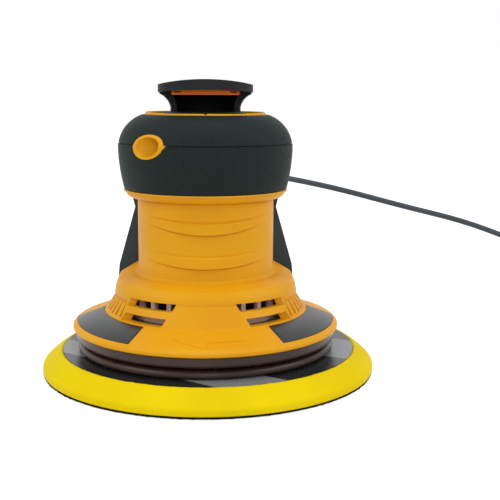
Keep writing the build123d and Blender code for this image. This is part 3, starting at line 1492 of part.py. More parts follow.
with BuildPart() as plug_pins:
    for radius, length in ((PLUG_PIN_R, PLUG_PIN_L), (PLUG_ROOT_R, -PLUG_ROOT_L)):
        with BuildSketch(Plane.XZ.offset(-(plug_y - PLUG[1]))):
            for side in (-1, 1):
                with Locations((plug_x + side * PLUG_PIN_SPACING / 2, plug_z)):
                    Circle(radius)
        extrude(amount=length)
keep("plug_pins", plug_pins)

for name, part in pieces.items():
    part.label = name
    export_step(part, f"parts/{name}.step")
print(len(pieces), "pieces")
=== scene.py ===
# %% [markdown]
# # A palm sander around its imported frame
# This lesson dresses it: the outer pieces are modelled again with rounded edges and procedural
# finishes. The pad's plate, with reflections painted on its top, and what lies inside keep their CAD
# meshes with better materials.

# %% The frame
import json
from math import atan2, cos, hypot, pi, radians, sin, sqrt, tan

import bmesh
import bpy
from mathutils import Matrix, Vector


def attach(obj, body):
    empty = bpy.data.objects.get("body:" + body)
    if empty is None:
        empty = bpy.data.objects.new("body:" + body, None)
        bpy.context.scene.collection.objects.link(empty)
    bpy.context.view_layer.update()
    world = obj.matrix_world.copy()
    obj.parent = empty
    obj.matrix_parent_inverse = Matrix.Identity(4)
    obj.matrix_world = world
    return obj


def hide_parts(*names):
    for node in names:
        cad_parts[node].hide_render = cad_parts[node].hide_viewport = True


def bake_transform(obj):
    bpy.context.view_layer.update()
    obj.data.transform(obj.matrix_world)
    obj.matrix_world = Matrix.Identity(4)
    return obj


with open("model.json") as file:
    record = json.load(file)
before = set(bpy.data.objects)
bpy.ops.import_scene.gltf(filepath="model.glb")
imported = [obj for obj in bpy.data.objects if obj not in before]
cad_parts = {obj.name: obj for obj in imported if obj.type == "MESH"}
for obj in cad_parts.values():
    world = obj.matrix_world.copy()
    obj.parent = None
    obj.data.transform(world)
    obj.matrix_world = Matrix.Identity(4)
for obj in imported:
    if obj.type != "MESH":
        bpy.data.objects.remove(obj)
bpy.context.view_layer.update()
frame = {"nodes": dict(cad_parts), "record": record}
nodes = frame["nodes"]
MM = 0.001
WELD = 0.002 * MM

# %% [markdown]
# ## Camera
# The viewing angle was worked out from the pad's ellipse and the widths of rim and grip: the lens is
# level with the lever, 409 mm in front of the motor axis, and looks down by nine and a half
# degrees. A camera can be aimed with a constraint, but writing its matrix from the three angles keeps
# the small roll of the picture as well.

# %% Camera
YAW, PITCH, ROLL = radians(2.80), radians(9.48), radians(0.3)
LENS, SENSOR_WIDTH, LENS_PLACE = 65.7, 36.0, (0, -0.409, 0.1219)
ahead = Vector((sin(YAW) * cos(PITCH), cos(YAW) * cos(PITCH), -sin(PITCH)))
level = Vector((cos(YAW), -sin(YAW), 0))
above = level.cross(ahead)
right = level * cos(ROLL) + above * sin(ROLL)
upward = above * cos(ROLL) - level * sin(ROLL)
eye = bpy.data.cameras.new("product_camera")
eye.sensor_width = SENSOR_WIDTH
eye.lens = LENS
camera = bpy.data.objects.new("product_camera", eye)
bpy.context.scene.collection.objects.link(camera)
turn = Matrix((right, upward, -ahead)).transposed().to_4x4()
camera.matrix_world = Matrix.Translation(LENS_PLACE) @ turn
bpy.context.scene.camera = camera
bpy.context.scene.view_settings.view_transform = "Standard"
print("camera lens", eye.lens, "mm")

# %% [markdown]
# ## Studio
# The product stands on a white sweep under soft boxes. An HDR picture would light it too, but this
# file uses no pictures, so four large area lamps and a pale world do the work. Rays that come
# straight from the camera, or off a gloss, see plain white. For those rays the floor adds a glow of its
# own to the light that reaches it, so it is white all over and keeps a shadow close to the pad.

# %% Studio
SOFT_BOXES = (
    ("left_box", (-0.62, -0.30, 0.52), 0.55, 2.0),
    ("right_box", (0.66, -0.22, 0.46), 0.55, 1.9),
    ("top_box", (0.02, -0.10, 0.82), 0.45, 1.7),
    ("front_box", (0.04, -0.90, 0.40), 0.30, 0.8),
)
LAMP_AIM = Vector((0, 0, 0.06))
WORLD_FILL, WORLD_SEEN = 0.42, 1.0
FLOOR_WHITE, FLOOR_GLOW, FLOOR_SIZE, FLOOR_DROP = 0.86, 0.7, 6.0, 0.0003
for name, place, width, power in SOFT_BOXES:
    lamp = bpy.data.lights.new(name, "AREA")
    lamp.shape = "DISK"
    lamp.size = width
    lamp.energy = power
    box = bpy.data.objects.new(name, lamp)
    bpy.context.scene.collection.objects.link(box)
    box.location = place
    box.rotation_euler = (LAMP_AIM - Vector(place)).to_track_quat("-Z", "Y").to_euler()


def add(tree, kind, inputs=None, **settings):
    """Add a shader node. Its inputs take values, or sockets to link, by name or by place."""
    node = tree.nodes.new("ShaderNode" + kind)
    for label, value in settings.items():
        setattr(node, label, value)
    for label, value in (inputs or {}).items():
        if isinstance(value, bpy.types.NodeSocket):
            tree.links.new(value, node.inputs[label])
        else:
            node.inputs[label].default_value = value
    return node


def seen_directly(tree):
    """One for rays from the camera, off a gloss or through glass, and zero for the rest."""
    path = add(tree, "LightPath").outputs
    total = path["Is Camera Ray"]
    for label in ("Is Glossy Ray", "Is Transmission Ray"):
        total = add(tree, "Math", {0: total, 1: path[label]}, operation="MAXIMUM").outputs[0]
    return total


def by_ray(tree, others, direct, kind):
    """Show one shader to the rays that see it directly, and another to the rest."""
    ways = {"Fac": seen_directly(tree), 1: others.outputs[0], 2: direct.outputs[0]}
    add(tree, kind, {"Surface": add(tree, "MixShader", ways).outputs[0]})


world = bpy.data.worlds.new("white_studio")
bpy.context.scene.world = world
world.use_nodes = True
sky = world.node_tree
sky.nodes.clear()
skies = []
for strength in (WORLD_FILL, WORLD_SEEN):
    skies.append(add(sky, "Background", {"Color": (1, 1, 1, 1), "Strength": strength}))
by_ray(sky, *skies, "OutputWorld")

sweep = bpy.data.materials.new("white_sweep")
sweep.use_nodes = True
table = sweep.node_tree
table.nodes.clear()
paint = add(table, "BsdfDiffuse", {"Color": (FLOOR_WHITE, FLOOR_WHITE, FLOOR_WHITE, 1)})
glow = add(table, "Emission", {"Strength": FLOOR_GLOW})
lit = add(table, "AddShader", {0: paint.outputs[0], 1: glow.outputs[0]})
by_ray(table, paint, lit, "OutputMaterial")
bpy.ops.object.select_all(action="DESELECT")
bpy.ops.mesh.primitive_plane_add(size=FLOOR_SIZE, location=(0, 0, 0))
floor = bpy.context.active_object
floor.name = "studio_floor"
floor.data.materials.append(sweep)
floor.data.transform(Matrix.Translation((0, 0, -FLOOR_DROP)))
print("studio:", len(SOFT_BOXES), "soft boxes")

# %% [markdown]
# ## Mains lead
# The lead leaves the tail through a grooved sleeve, sinks behind the body to the right and reaches
# the floor outside the picture. There the rest of it lies in a tied round coil with the plug beside
# it. It could be a chain of straight tubes, but one smooth curve with a round bevel bends as rubber
# does. The coil spirals in and out in four layers and climbs half a turn wherever it reverses.

# %% Mains lead
CORD_R = 2.0
lead_route = [
    (0, 160, 76), (0, 184, 76), (11, 210, 74), (33, 228, 70.2), (62, 236, 65), (98, 240, 57),
    (142, 243, 45), (188, 246, 33.8), (222, 238, 21.5), (246, 222, 12), (259.5, 198, 5.6),
    (264.5, 172, 3.1), (264.5, 146, 3.1),
]
end_route = [
    (261.75, 138, 16.9), (261.75, 112, 16.9), (262.35, 88, 11.7), (261.75, 68, 6.85), (261.75, 50, 6.85),
]
COIL_X, COIL_Y, COIL_Z = 232.0, 142.0, 3.1
COIL_REACH, COIL_STEP, COIL_LAYER = 32.5, 2.75, 4.6
COIL_HALF_TURNS = (6, 6, 6, 5)
STEPS = 12


def half_turn(start, finish, low, high):
    """Control points of one half turn, clockwise from above, between two reaches from the middle."""
    side = 1 if start > 0 else -1
    middle = COIL_X + (start + finish) / 2
    swing = abs(start - finish) / 2 / cos(pi / (2 * STEPS))
    begin = 0 if side > 0 else pi
    points = []
    for i in range(STEPS):
        share = (i + 0.5) / STEPS
        angle = begin - pi * share
        spot = (middle + swing * cos(angle), COIL_Y + swing * sin(angle))
        points.append((*spot, low + (high - low) * share))
    return points


coil_route = []
reach, z, inwards, side = COIL_REACH, COIL_Z, True, 1
for layer, halves in enumerate(COIL_HALF_TURNS):
    for _ in range(halves):
        after = reach + (-COIL_STEP if inwards else COIL_STEP)
        coil_route += half_turn(side * reach, -side * after, z, z)
        reach, side = after, -side
    if layer + 1 < len(COIL_HALF_TURNS):
        coil_route += half_turn(side * reach, -side * reach, z, z + COIL_LAYER)
        z, side, inwards = z + COIL_LAYER, -side, not inwards

flex = bpy.data.curves.new("mains_lead", "CURVE")
flex.dimensions = "3D"
route = lead_route + coil_route + end_route
line = flex.splines.new("NURBS")
line.points.add(len(route) - 1)
for point, spot in zip(line.points, route):
    point.co = (spot[0] * MM, spot[1] * MM, spot[2] * MM, 1)
line.order_u = 3
line.use_endpoint_u = True
line.resolution_u = 4
flex.bevel_depth = CORD_R * MM
flex.bevel_resolution = 3
flex.use_fill_caps = True
mains_lead = bpy.data.objects.new("mains_lead", flex)
bpy.context.scene.collection.objects.link(mains_lead)
print("lead:", len(route), "control points, coil ends at reach", reach)

# %% [markdown]
# ## Modelling helpers
# Most pieces of such a tool are turned or moulded, so they start as an outline. A single point is
# extruded along the outline, and the chain is either spun round an axis, as on a lathe, or filled and
# extruded into a block. Boolean modifiers then cut the openings and bevel modifiers round the edges.
# A ready primitive would be quicker to place, but it would not carry the real outline.


# %% Outlines
def focus(obj):
    """Leave edit mode and make one object the only selected and active one."""
    if bpy.context.mode != "OBJECT":
        bpy.ops.object.mode_set(mode="OBJECT")
    bpy.ops.object.select_all(action="DESELECT")
    if obj is not None:
        obj.select_set(True)
        bpy.context.view_layer.objects.active = obj


def everything():
    """Select all of the object in edit mode."""
    bpy.ops.mesh.select_all(action="SELECT")


def pick(obj, kind, test):
    """Select those points, edges or faces of the object in edit mode that pass a test."""
    bpy.ops.mesh.select_mode(type=kind)
    bpy.ops.mesh.select_all(action="DESELECT")
    shape = bmesh.from_edit_mesh(obj.data)
    for part in {"VERT": shape.verts, "EDGE": shape.edges, "FACE": shape.faces}[kind]:
        part.select_set(test(part))
    shape.select_flush_mode()
    bmesh.update_edit_mesh(obj.data)


def trace(name, points):
    """Extrude one point along a chain of points in millimetres, and stay in edit mode."""
    focus(None)
    bpy.ops.mesh.primitive_plane_add(size=MM, location=(0, 0, 0))
    obj = bpy.context.active_object
    obj.name = obj.data.name = name
    bpy.ops.object.mode_set(mode="EDIT")
    bpy.ops.mesh.select_mode(type="VERT")
    everything()
    bpy.ops.mesh.merge(type="CENTER")
    last = Vector((0, 0, 0))
    for index, point in enumerate(points):
        step = (Vector(point) - last) * MM
        if index == 0:
            bpy.ops.transform.translate(value=step)
        else:
            bpy.ops.mesh.extrude_region_move(TRANSFORM_OT_translate={"value": step})
        last = Vector(point)
    return obj


def close_chain(obj):
    """Join the last point of a traced chain to its first."""
    pick(obj, "VERT", lambda vert: len(vert.link_edges) == 1)
    bpy.ops.mesh.edge_face_add()


def clean(obj):
    """Merge doubled points and turn every face outwards, then leave edit mode."""
    everything()
    bpy.ops.mesh.remove_doubles(threshold=WELD)
    bpy.ops.mesh.normals_make_consistent(inside=False)
    focus(obj)
    return obj


def bridged(name, rows):
    """Trace a row of closed sections and bridge them into one solid."""
    rings = []
    for points in rows:
        rings.append(trace(name, points))
        close_chain(rings[-1])
    solid = joined(*rings)
    bpy.ops.object.mode_set(mode="EDIT")
    everything()
    bpy.ops.mesh.bridge_edge_loops()
    everything()
    bpy.ops.mesh.fill_holes(sides=0)
    return clean(solid)


AXES = {
    "Z": (lambda r, h, c: (c[0] + r, c[1], h), (0, 0, 1)),
    "Y": (lambda r, h, c: (c[0] + r, h, c[2]), (0, 1, 0)),
    "X": (lambda r, h, c: (h, c[1] + r, c[2]), (1, 0, 0)),
}


def lathe(name, outline, axis="Z", centre=(0, 0, 0), closed=True, steps=144):
    """Spin an outline of (radius, height) points a full turn round an axis."""
    place, direction = AXES[axis]
    obj = trace(name, [place(r, h, centre) for r, h in outline])
    if closed:
        close_chain(obj)
    everything()
    bpy.ops.mesh.spin(steps=steps, angle=2 * pi, center=Vector(centre) * MM, axis=direction)
    return clean(obj)


def rectangle(first, second):
    """The corners of a rectangle between two opposite ones that share a coordinate."""
    (x1, y1, z1), (x2, y2, z2) = first, second
    if x1 == x2:
        return [first, (x1, y2, z1), second, (x1, y1, z2)]
    return [first, (x2, y1, z1), second, (x1, y2, z2)]


def block(name, outline, along, rounding=0.0, segments=5):
    """Fill an outline of points in millimetres, round its corners and extrude it along a vector."""
    obj = trace(name, outline)
    everything()
    bpy.ops.mesh.edge_face_add()
    if rounding:
        everything()
        bpy.ops.mesh.bevel(offset=rounding * MM, segments=segments, affect="VERTICES")
    everything()
    bpy.ops.mesh.extrude_region_move(TRANSFORM_OT_translate={"value": Vector(along) * MM})
    return clean(obj)


def arc(first, through, last, steps=8):
    """Points of the circle through three points, from the first to the last."""
    (ax, ay), (bx, by), (cx, cy) = first, through, last
    d = 2 * (ax * (by - cy) + bx * (cy - ay) + cx * (ay - by))
    a, b, c = ax * ax + ay * ay, bx * bx + by * by, cx * cx + cy * cy
    ux = (a * (by - cy) + b * (cy - ay) + c * (ay - by)) / d
    uy = (a * (cx - bx) + b * (ax - cx) + c * (bx - ax)) / d
    begin = atan2(ay - uy, ax - ux)
    half = (atan2(by - uy, bx - ux) - begin) % (2 * pi)
    whole = (atan2(cy - uy, cx - ux) - begin) % (2 * pi)
    sweep_angle = whole if half < whole else whole - 2 * pi
    r = hypot(ax - ux, ay - uy)
    turns = [begin + sweep_angle * i / steps for i in range(steps + 1)]
    return [(ux + r * cos(turn), uy + r * sin(turn)) for turn in turns]


def eased(points, rounding):
    """Replace the named corners of an outline by small arcs: {index: radius}."""
    result = []
    for index, here in enumerate(points):
        r = rounding.get(index, 0)
        if not r:
            result.append(here)
            continue
        here = Vector(here)
        before = (Vector(points[index - 1]) - here).normalized()
        after = (Vector(points[(index + 1) % len(points)]) - here).normalized()
        half = before.angle(after) / 2
        run = r / tan(half)
        middle = here + (before + after).normalized() * (r / sin(half))
        mid = middle + (here - middle).normalized() * r
        start, finish = here + before * run, here + after * run
        result += arc(tuple(start), tuple(mid), tuple(finish), 5)
    return result


# %% [markdown]
# Booleans need closed shapes. The exact solver is slower than the fast one, but it copes with faces
# that touch. After the cuts a narrow bevel catches the light along every hard edge, which is what
# makes a moulded piece look moulded.


# %% Cuts, edges and finishing
def modify(obj, kind, **settings):
    """Add a modifier with its settings, and apply it."""
    focus(obj)
    change = obj.modifiers.new(kind.lower(), kind)
    for label, value in settings.items():
        setattr(change, label, value)
    bpy.ops.object.modifier_apply(modifier=change.name)
    return obj


def combine(target, tool, way):
    """Apply a boolean with another object, and delete that object."""
    modify(target, "BOOLEAN", operation=way, solver="EXACT", object=tool)
    bpy.data.objects.remove(tool)
    return target


def joined(*objects):
    """Join several objects into the first of them."""
    focus(objects[0])
    for obj in objects:
        obj.select_set(True)
    bpy.ops.object.join()
    return bpy.context.active_object


def soften(obj, width, segments=3, angle=32.0, smooth=38.0):
    """Round the hard edges of a piece and shade it smooth between them."""
    focus(obj)
    if width:
        limit = {"limit_method": "ANGLE", "angle_limit": radians(angle), "use_clamp_overlap": True}
        modify(obj, "BEVEL", width=width * MM, segments=segments, **limit)
    bpy.ops.object.shade_smooth_by_angle(angle=radians(smooth))
    return obj


def weighted(obj):
    """Let the large faces decide the shading beside a narrow bevel."""
    return modify(obj, "WEIGHTED_NORMAL", keep_sharp=True, weight=60)


def nudge(obj, share, amount):
    """Move points up by an amount in millimetres, each by the share that its place gives it."""
    group = obj.vertex_groups.new(name="nudge")
    for vert in obj.data.vertices:
        group.add([vert.index], share(vert.co / MM), "REPLACE")
    reach = {"mid_level": 0.0, "strength": amount * MM}
    modify(obj, "DISPLACE", direction="Z", vertex_group=group.name, **reach)
    obj.vertex_groups.clear()


def tube(name, axis, centre, radius, low, high, steps=48):
    """A capped round bar, used as a cutter or a start."""
    outline = [(0, low), (radius, low), (radius, high), (0, high)]
    return lathe(name, outline, axis, centre, False, steps)


def settle(obj, body, slot, *replaced, finish=None):
    """Give a piece its finish, the body it moves with and the nodes that it stands for."""
    obj.data.materials.clear()
    obj.data.materials.append(finish or finishes[slot])
    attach(obj, body)
    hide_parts(*replaced)
    count = len(obj.data.polygons) if obj.type == "MESH" else 0
    print(obj.name, "rides", body, "faces", count)
    return obj

# %% [markdown]
# ## Finishes
# A real moulding is never one flat colour: it has a fine spark-eroded grain, a slight drift of shade
# and a gloss that wanders with the grain. All mouldings share these traits, so they are one node
# group with named inputs. Rubber gets a stipple made from a cell pattern, and metal gets fine rings or
# bands. Painted picture textures could show the same, but noise on object coordinates needs no
# unwrapping and stays with the piece when it moves.


# %% Node groups
def srgb(red, green, blue):
    """A colour as a paint chart gives it, 0 to 255, turned into the linear values that shaders use."""
    parts = [c / 255 for c in (red, green, blue)]
    return [c / 12.92 if c <= 0.04045 else ((c + 0.055) / 1.055) ** 2.4 for c in parts] + [1.0]


SKIN_INPUTS = (
    ("Colour", "NodeSocketColor", (0.5, 0.5, 0.5, 1)),
    ("Shade", "NodeSocketColor", (0.4, 0.4, 0.4, 1)),
    ("Grain", "NodeSocketFloat", 1500.0),
    ("Rough low", "NodeSocketFloat", 0.4),
    ("Rough high", "NodeSocketFloat", 0.5),
)
SKIN_OUTPUTS = (
    ("Colour", "NodeSocketColor"),
    ("Roughness", "NodeSocketFloat"),
    ("Height", "NodeSocketFloat"),
)


def skin_group(name):
    """A group with the sockets that every finish uses, its grain and its object coordinates."""
    tree = bpy.data.node_groups.new(name, "ShaderNodeTree")
    for label, kind, value in SKIN_INPUTS:
        tree.interface.new_socket(label, in_out="INPUT", socket_type=kind).default_value = value
    for label, kind in SKIN_OUTPUTS:
        tree.interface.new_socket(label, in_out="OUTPUT", socket_type=kind)
    entry = tree.nodes.new("NodeGroupInput")
    tree.nodes.new("NodeGroupOutput")
    place = add(tree, "TexCoord").outputs["Object"]
    return tree, entry.outputs["Grain"], place


def noise(tree, place, scale, detail=2.0):
    """A noise on object coordinates. The scale is in lumps per metre."""
    return add(tree, "TexNoise", {"Vector": place, "Scale": scale, "Detail": detail}).outputs["Fac"]


def spread(tree, value, low, high, to_low, to_high):
    """Stretch a value from one range to another. The new range may come from sockets."""
    ends = {"From Min": low, "From Max": high, "To Min": to_low, "To Max": to_high}
    return add(tree, "MapRange", {"Value": value, **ends}).outputs["Result"]


def blend_colours(tree, share, first, second):
    """Mix two colours, or sockets that give them, by a share."""
    return add(tree, "Mix", {0: share, 6: first, 7: second}, data_type="RGBA").outputs[2]


def arithmetic(tree, way, first, second):
    """A math node on a socket and a socket or number."""
    return add(tree, "Math", {0: first, 1: second}, operation=way).outputs[0]


def axis_distance(tree, place, squash):
    """The distance from the object's axis, with heights taken by a share."""
    flat = add(tree, "VectorMath", {0: place, 1: (1, 1, squash)}, operation="MULTIPLY")
    return add(tree, "VectorMath", {0: flat.outputs[0]}, operation="LENGTH").outputs["Value"]


def fill_group(tree, share, gloss, low, high, height, flip=False):
    """Lead a pattern to a group's outputs: a share of the colours, a gloss and a height."""
    entry, leave = tree.nodes["Group Input"].outputs, tree.nodes["Group Output"].inputs
    colours = [entry["Colour"], entry["Shade"]]
    rough = [entry["Rough low"], entry["Rough high"]]
    if flip:
        colours.reverse()
        rough.reverse()
    tree.links.new(blend_colours(tree, share, *colours), leave["Colour"])
    tree.links.new(spread(tree, gloss, low, high, *rough), leave["Roughness"])
    tree.links.new(height, leave["Height"])


moulded, grain, place = skin_group("moulded_skin")
speckle = noise(moulded, place, grain)
drift = spread(moulded, noise(moulded, place, 24.0, 3.0), 0.35, 0.65, 0.0, 1.0)
fill_group(moulded, drift, speckle, 0.3, 0.7, speckle)

stippled, grain, place = skin_group("stippled_rubber")
cells = add(stippled, "TexVoronoi", {"Vector": place, "Scale": grain, "Randomness": 1.0})
pit = spread(stippled, cells.outputs["Distance"], 0.15, 0.75, 0.0, 1.0)
patchy = spread(stippled, noise(stippled, place, 1700.0, 3.0), 0.3, 0.7, 0.0, 1.0)
depth = arithmetic(stippled, "MULTIPLY", pit, patchy)
height = arithmetic(stippled, "SUBTRACT", patchy, depth)
fill_group(stippled, depth, depth, 0.0, 0.8, height)

turned, grain, place = skin_group("turned_rings")
where = {"W": axis_distance(turned, place, 0.35), "Scale": grain}
rings = add(turned, "TexNoise", where, noise_dimensions="1D").outputs["Fac"]
tarnish = spread(turned, noise(turned, place, 60.0, 4.0), 0.4, 0.7, 0.0, 1.0)
fill_group(turned, tarnish, rings, 0.3, 0.7, rings)

banded, grain, place = skin_group("stacked_bands")
where = {"Vector": place, "Scale": grain, "Distortion": 0.6}
wave = add(banded, "TexWave", where, bands_direction="Z").outputs["Fac"]
fill_group(banded, wave, wave, 0.0, 1.0, wave, flip=True)
print("node groups:", [g.name for g in bpy.data.node_groups])

# %% [markdown]
# Each finish is then one line of a table: the group, the two colours that it drifts between, the
# grain in lumps per metre, the range of its roughness and how deep the grain is. Values that are the
# same all over, such as the metal share and the strength of the shine, sit on the shader itself.

# %% Finishes
FINISHES = {
    "housing_yellow": (moulded, (231, 166, 14), (225, 157, 10), 1500, (0.40, 0.50), 0.10, 0, 0.18),
    "grip_rubber": (stippled, (31, 40, 39), (21, 28, 27), 2500, (0.52, 0.70), 0.45, 0, 0.10),
    "badge_black": (moulded, (48, 52, 54), (43, 47, 49), 2600, (0.26, 0.32), 0.03, 0, 0.30),
    "bellows_rubber": (moulded, (66, 46, 38), (53, 36, 30), 900, (0.24, 0.36), 0.08, 0, 0.26),
    "black_plastic": (moulded, (33, 37, 37), (28, 32, 32), 2100, (0.44, 0.58), 0.16, 0, 0.12),
    "tail_plastic": (moulded, (58, 70, 78), (52, 63, 71), 2100, (0.44, 0.58), 0.16, 0, 0.16),
    "baffle_plastic": (moulded, (222, 208, 200), (210, 194, 186), 1400, (0.40, 0.55), 0.08, 0, 0.50),
    "duct_plastic": (moulded, (38, 38, 40), (30, 30, 32), 1800, (0.55, 0.70), 0.15, 0, 0.40),
    "orange_plastic": (moulded, (238, 122, 20), (232, 104, 12), 1800, (0.36, 0.46), 0.08, 0, 0.30),
    "panel_film": (moulded, (52, 54, 57), (46, 48, 51), 3000, (0.30, 0.38), 0.04, 0, 0.40),
    "button_plastic": (moulded, (236, 158, 26), (230, 146, 18), 2200, (0.38, 0.48), 0.08, 0, 0.30),
    "fan_plastic": (moulded, (236, 216, 206), (224, 200, 190), 1400, (0.40, 0.55), 0.08, 0, 0.50),
    "bracket_alloy": (stippled, (196, 197, 199), (150, 151, 154), 1100, (0.38, 0.55), 0.25, 1, 0.50),
    "bearing_steel": (turned, (212, 212, 214), (190, 190, 194), 5200, (0.12, 0.24), 0.04, 1, 0.50),
    "turned_steel": (turned, (190, 190, 192), (168, 168, 172), 4200, (0.24, 0.40), 0.10, 1, 0.50),
    "zinc_steel": (turned, (196, 196, 190), (172, 174, 172), 5000, (0.26, 0.38), 0.06, 1, 0.50),
    "lamination": (banded, (128, 130, 134), (86, 88, 92), 330, (0.38, 0.60), 0.35, 1, 0.50),
    "magnet": (moulded, (92, 93, 96), (78, 79, 82), 1600, (0.34, 0.46), 0.08, 1, 0.50),
    "copper": (banded, (206, 122, 74), (150, 78, 44), 300, (0.22, 0.40), 0.6, 1, 0.50),
    "circuit_board": (moulded, (28, 108, 60), (20, 88, 48), 700, (0.26, 0.36), 0.10, 0, 0.50),
    "component_black": (moulded, (40, 40, 42), (32, 32, 34), 1900, (0.40, 0.55), 0.12, 0, 0.40),
    "pad_foam_yellow": (moulded, (238, 212, 2), (231, 202, 1), 700, (0.50, 0.62), 0.06, 0, 0.06),
    "pad_hook_black": (stippled, (18, 18, 18), (8, 8, 9), 1700, (0.80, 0.95), 1.0, 0, 0.10),
    "cord_rubber": (moulded, (56, 65, 72), (47, 55, 62), 1600, (0.40, 0.52), 0.10, 0, 0.40),
    "tie_strap": (stippled, (40, 40, 42), (22, 22, 23), 1500, (0.75, 0.90), 0.8, 0, 0.30),
    "pin_nickel": (turned, (214, 210, 200), (194, 190, 180), 4800, (0.16, 0.28), 0.04, 1, 0.50),
}
GRAIN_DEPTH = 0.00012


def dressed(name, group, colour, shade, grain, rough, relief, metal, shine):
    """A material whose colour, gloss and relief come from one of the groups."""
    finish = bpy.data.materials.new(name)
    finish.use_nodes = True
    tree = finish.node_tree
    values = {"Colour": srgb(*colour), "Shade": srgb(*shade), "Grain": grain}
    values |= {"Rough low": rough[0], "Rough high": rough[1]}
    look = add(tree, "Group", values, node_tree=group).outputs
    depths = {"Strength": relief, "Distance": GRAIN_DEPTH, "Height": look["Height"]}
    bump = add(tree, "Bump", depths)
    shader = tree.nodes["Principled BSDF"].inputs
    shader["Metallic"].default_value = metal
    shader["Specular IOR Level"].default_value = shine
    tree.links.new(look["Colour"], shader["Base Color"])
    tree.links.new(look["Roughness"], shader["Roughness"])
    tree.links.new(bump.outputs["Normal"], shader["Normal"])
    return finish


finishes = {name: dressed(name, *values) for name, values in FINISHES.items()}
print("finishes:", len(finishes))
settle(mains_lead, "housing", "cord_rubber", "cord_lead", "cord_coil", "cord_end")

# %% [markdown]
# ## Pad plate
# The plate's glossy upper face mirrors the studio in dark and pale sectors, and these reflections are
# painted into its colour. Only a ring of it shows between the bellows and the foam. Separate coloured
# faces would need cuts in the disc. The sectors are wedges between two straight lines instead, so each
# is a pair of half-plane tests on object coordinates.

# %% Pad plate
PAD_X = 1.25
WEDGES = (
    ((-83, 66), (-77, 59), (2, 66), (-7, 59)),
    ((28.6, 66), (25, 59), (65, 66), (65, 59)),
    ((91, 66), (96, 59), (150, 66), (146, 59)),
)


def on_plate(azimuth, reach):
    """A point of the plate, in metres, by its angle from the front towards the right."""
    return Vector((PAD_X + reach * sin(radians(azimuth)), -reach * cos(radians(azimuth)), 0)) * MM


def beyond(tree, place, first, second):
    """One on the side of a line that a larger angle lies on."""
    run = second - first
    across = Vector((run.y, -run.x, 0)).normalized()
    side = add(tree, "VectorMath", {0: place, 1: across}, operation="DOT_PRODUCT")
    return arithmetic(tree, "GREATER_THAN", side.outputs["Value"], across.dot(first))


# Painted reflection: a pale grey ground with dark wedges stands in for the studio mirrored in the plate.
PLATE_REFLECTION = (moulded, (132, 135, 138), (124, 127, 131), 2400, (0.22, 0.30), 0.04, 0, 0.45)
PLATE_DARK_REFLECTION = (30, 32, 34)
reflected_plate = dressed("pad_plate_painted_reflection", *PLATE_REFLECTION)
tree = reflected_plate.node_tree
place = add(tree, "TexCoord").outputs["Object"]
dark_reflection = None
for corners in WEDGES:
    ends = [on_plate(*corner) for corner in corners]
    start, stop = beyond(tree, place, *ends[:2]), beyond(tree, place, *ends[2:])
    wedge = arithmetic(tree, "GREATER_THAN", arithmetic(tree, "SUBTRACT", start, stop), 0.5)
    dark_reflection = wedge if dark_reflection is None else arithmetic(tree, "MAXIMUM", dark_reflection, wedge)
base = tree.nodes["Principled BSDF"].inputs["Base Color"]
tree.links.new(blend_colours(tree, dark_reflection, base.links[0].from_socket, srgb(*PLATE_DARK_REFLECTION)), base)
print("plate wedges:", len(WEDGES))

# %% [markdown]
# ## Housing
# The yellow housing is a clamshell: two moulded halves that meet on the plane through the motor axis.
# Its outline is turned, from the skirt's rim over the shoulder and the neck to the deck, so it is spun
# from one closed wall outline. In front the shoulder lies lower than at the back, which a displace
# modifier with weights does better than a second outline. Two raised bands cross the front of the
# neck and bow down in the middle. A curve with a bevel could carry a band, but its section changes
# along the way, so a row of sections is traced and bridged. Their front lies on a circle that stands
# a little forward, which lets the band fade into the neck at both ends. The upper edge slopes, and a
# fine crease runs below the lower one.

# %% Housing wall
lip = [(60, 20.4), (60, 21.6), (58.4, 22.9), (45.4, 27.8)]
housing_out = [(59.6, 20.0), (60.0, 20.4)] + eased(lip, {1: 0.9, 2: 1.6})[1:-1]
housing_out += eased([(58.4, 22.9), (45.2, 27.8), (40.9, 36.4)], {1: 0.8})[1:-1]
housing_out += [(40.95, 36.3), (41.0, 36.7)]
housing_out += arc((41.0, 36.7), (40.4, 40.0), (39.1, 43.2), 8)[1:-1]
housing_out += eased([(40.4, 40.0), (39.1, 43.2), (33.4, 46.67)], {1: 1.4})[1:-1]
housing_out += arc((33.4, 46.67), (31.3, 47.73), (30.4, 50.3), 8)
housing_out += [(30.4, 54.0), (30.4, 60.0), (30.4, 66.0), (30.4, 72.0), (30.4, 77.55)]
housing_out += [(30.2, 77.75), (30.2, 78.05)] + arc((31.8, 78.15), (34.8, 79.3), (35.6, 80.75), 6)
housing_out += [(35.62, 80.95), (36.2, 81.0), (36.45, 81.15), (36.45, 81.35), (36.15, 81.8)]
housing_top = [(33.85, 81.8)] + arc((33.85, 81.8), (35.55, 90.3), (36.35, 98.8), 6)[1:]
housing_top += [(36.35, 102.0), (35.95, 102.0)]
housing_top += arc((35.95, 102.0), (33.5, 107.79), (26.8, 112.45), 8)[1:]
housing_top += [(26.75, 112.45), (26.75, 114.4), (26.35, 114.95), (25.95, 115.1), (25.6, 115.0)]
housing_top += [(25.4, 114.75), (16.8, 114.75), (16.6, 114.55)]
housing_in = [(16.6, 112.2), (26.3, 112.2), (31.2, 109.86), (34.0, 102.0), (34.0, 98.8), (30.65, 84.0)]
housing_in += [(30.65, 83.0), (31.45, 83.0), (31.45, 80.5), (27.5, 80.5), (27.5, 42.6)]
housing_in += [(36.55, 42.1), (36.55, 39.5), (35.6, 39.5), (35.6, 38.5), (37.5, 38.5), (38.3, 36.6)]
housing_in += [(42.3, 26.0), (44.45, 26.0), (44.45, 25.4), (57.4, 20.6), (57.4, 20.0)]
shell = lathe("housing_shell", housing_out + housing_top + housing_in, steps=192)
SHOULDER_DROP = ((38.0, 0.0), (42.6, 1.5), (43.6, 1.5), (46.67, 2.97), (50.3, 4.9))
SHOULDER_LOW, SHOULDER_HIGH = 38.0, 50.5
FLANK_TOP, FLANK_R, FOOT_R = 46, 38.2, 30.3
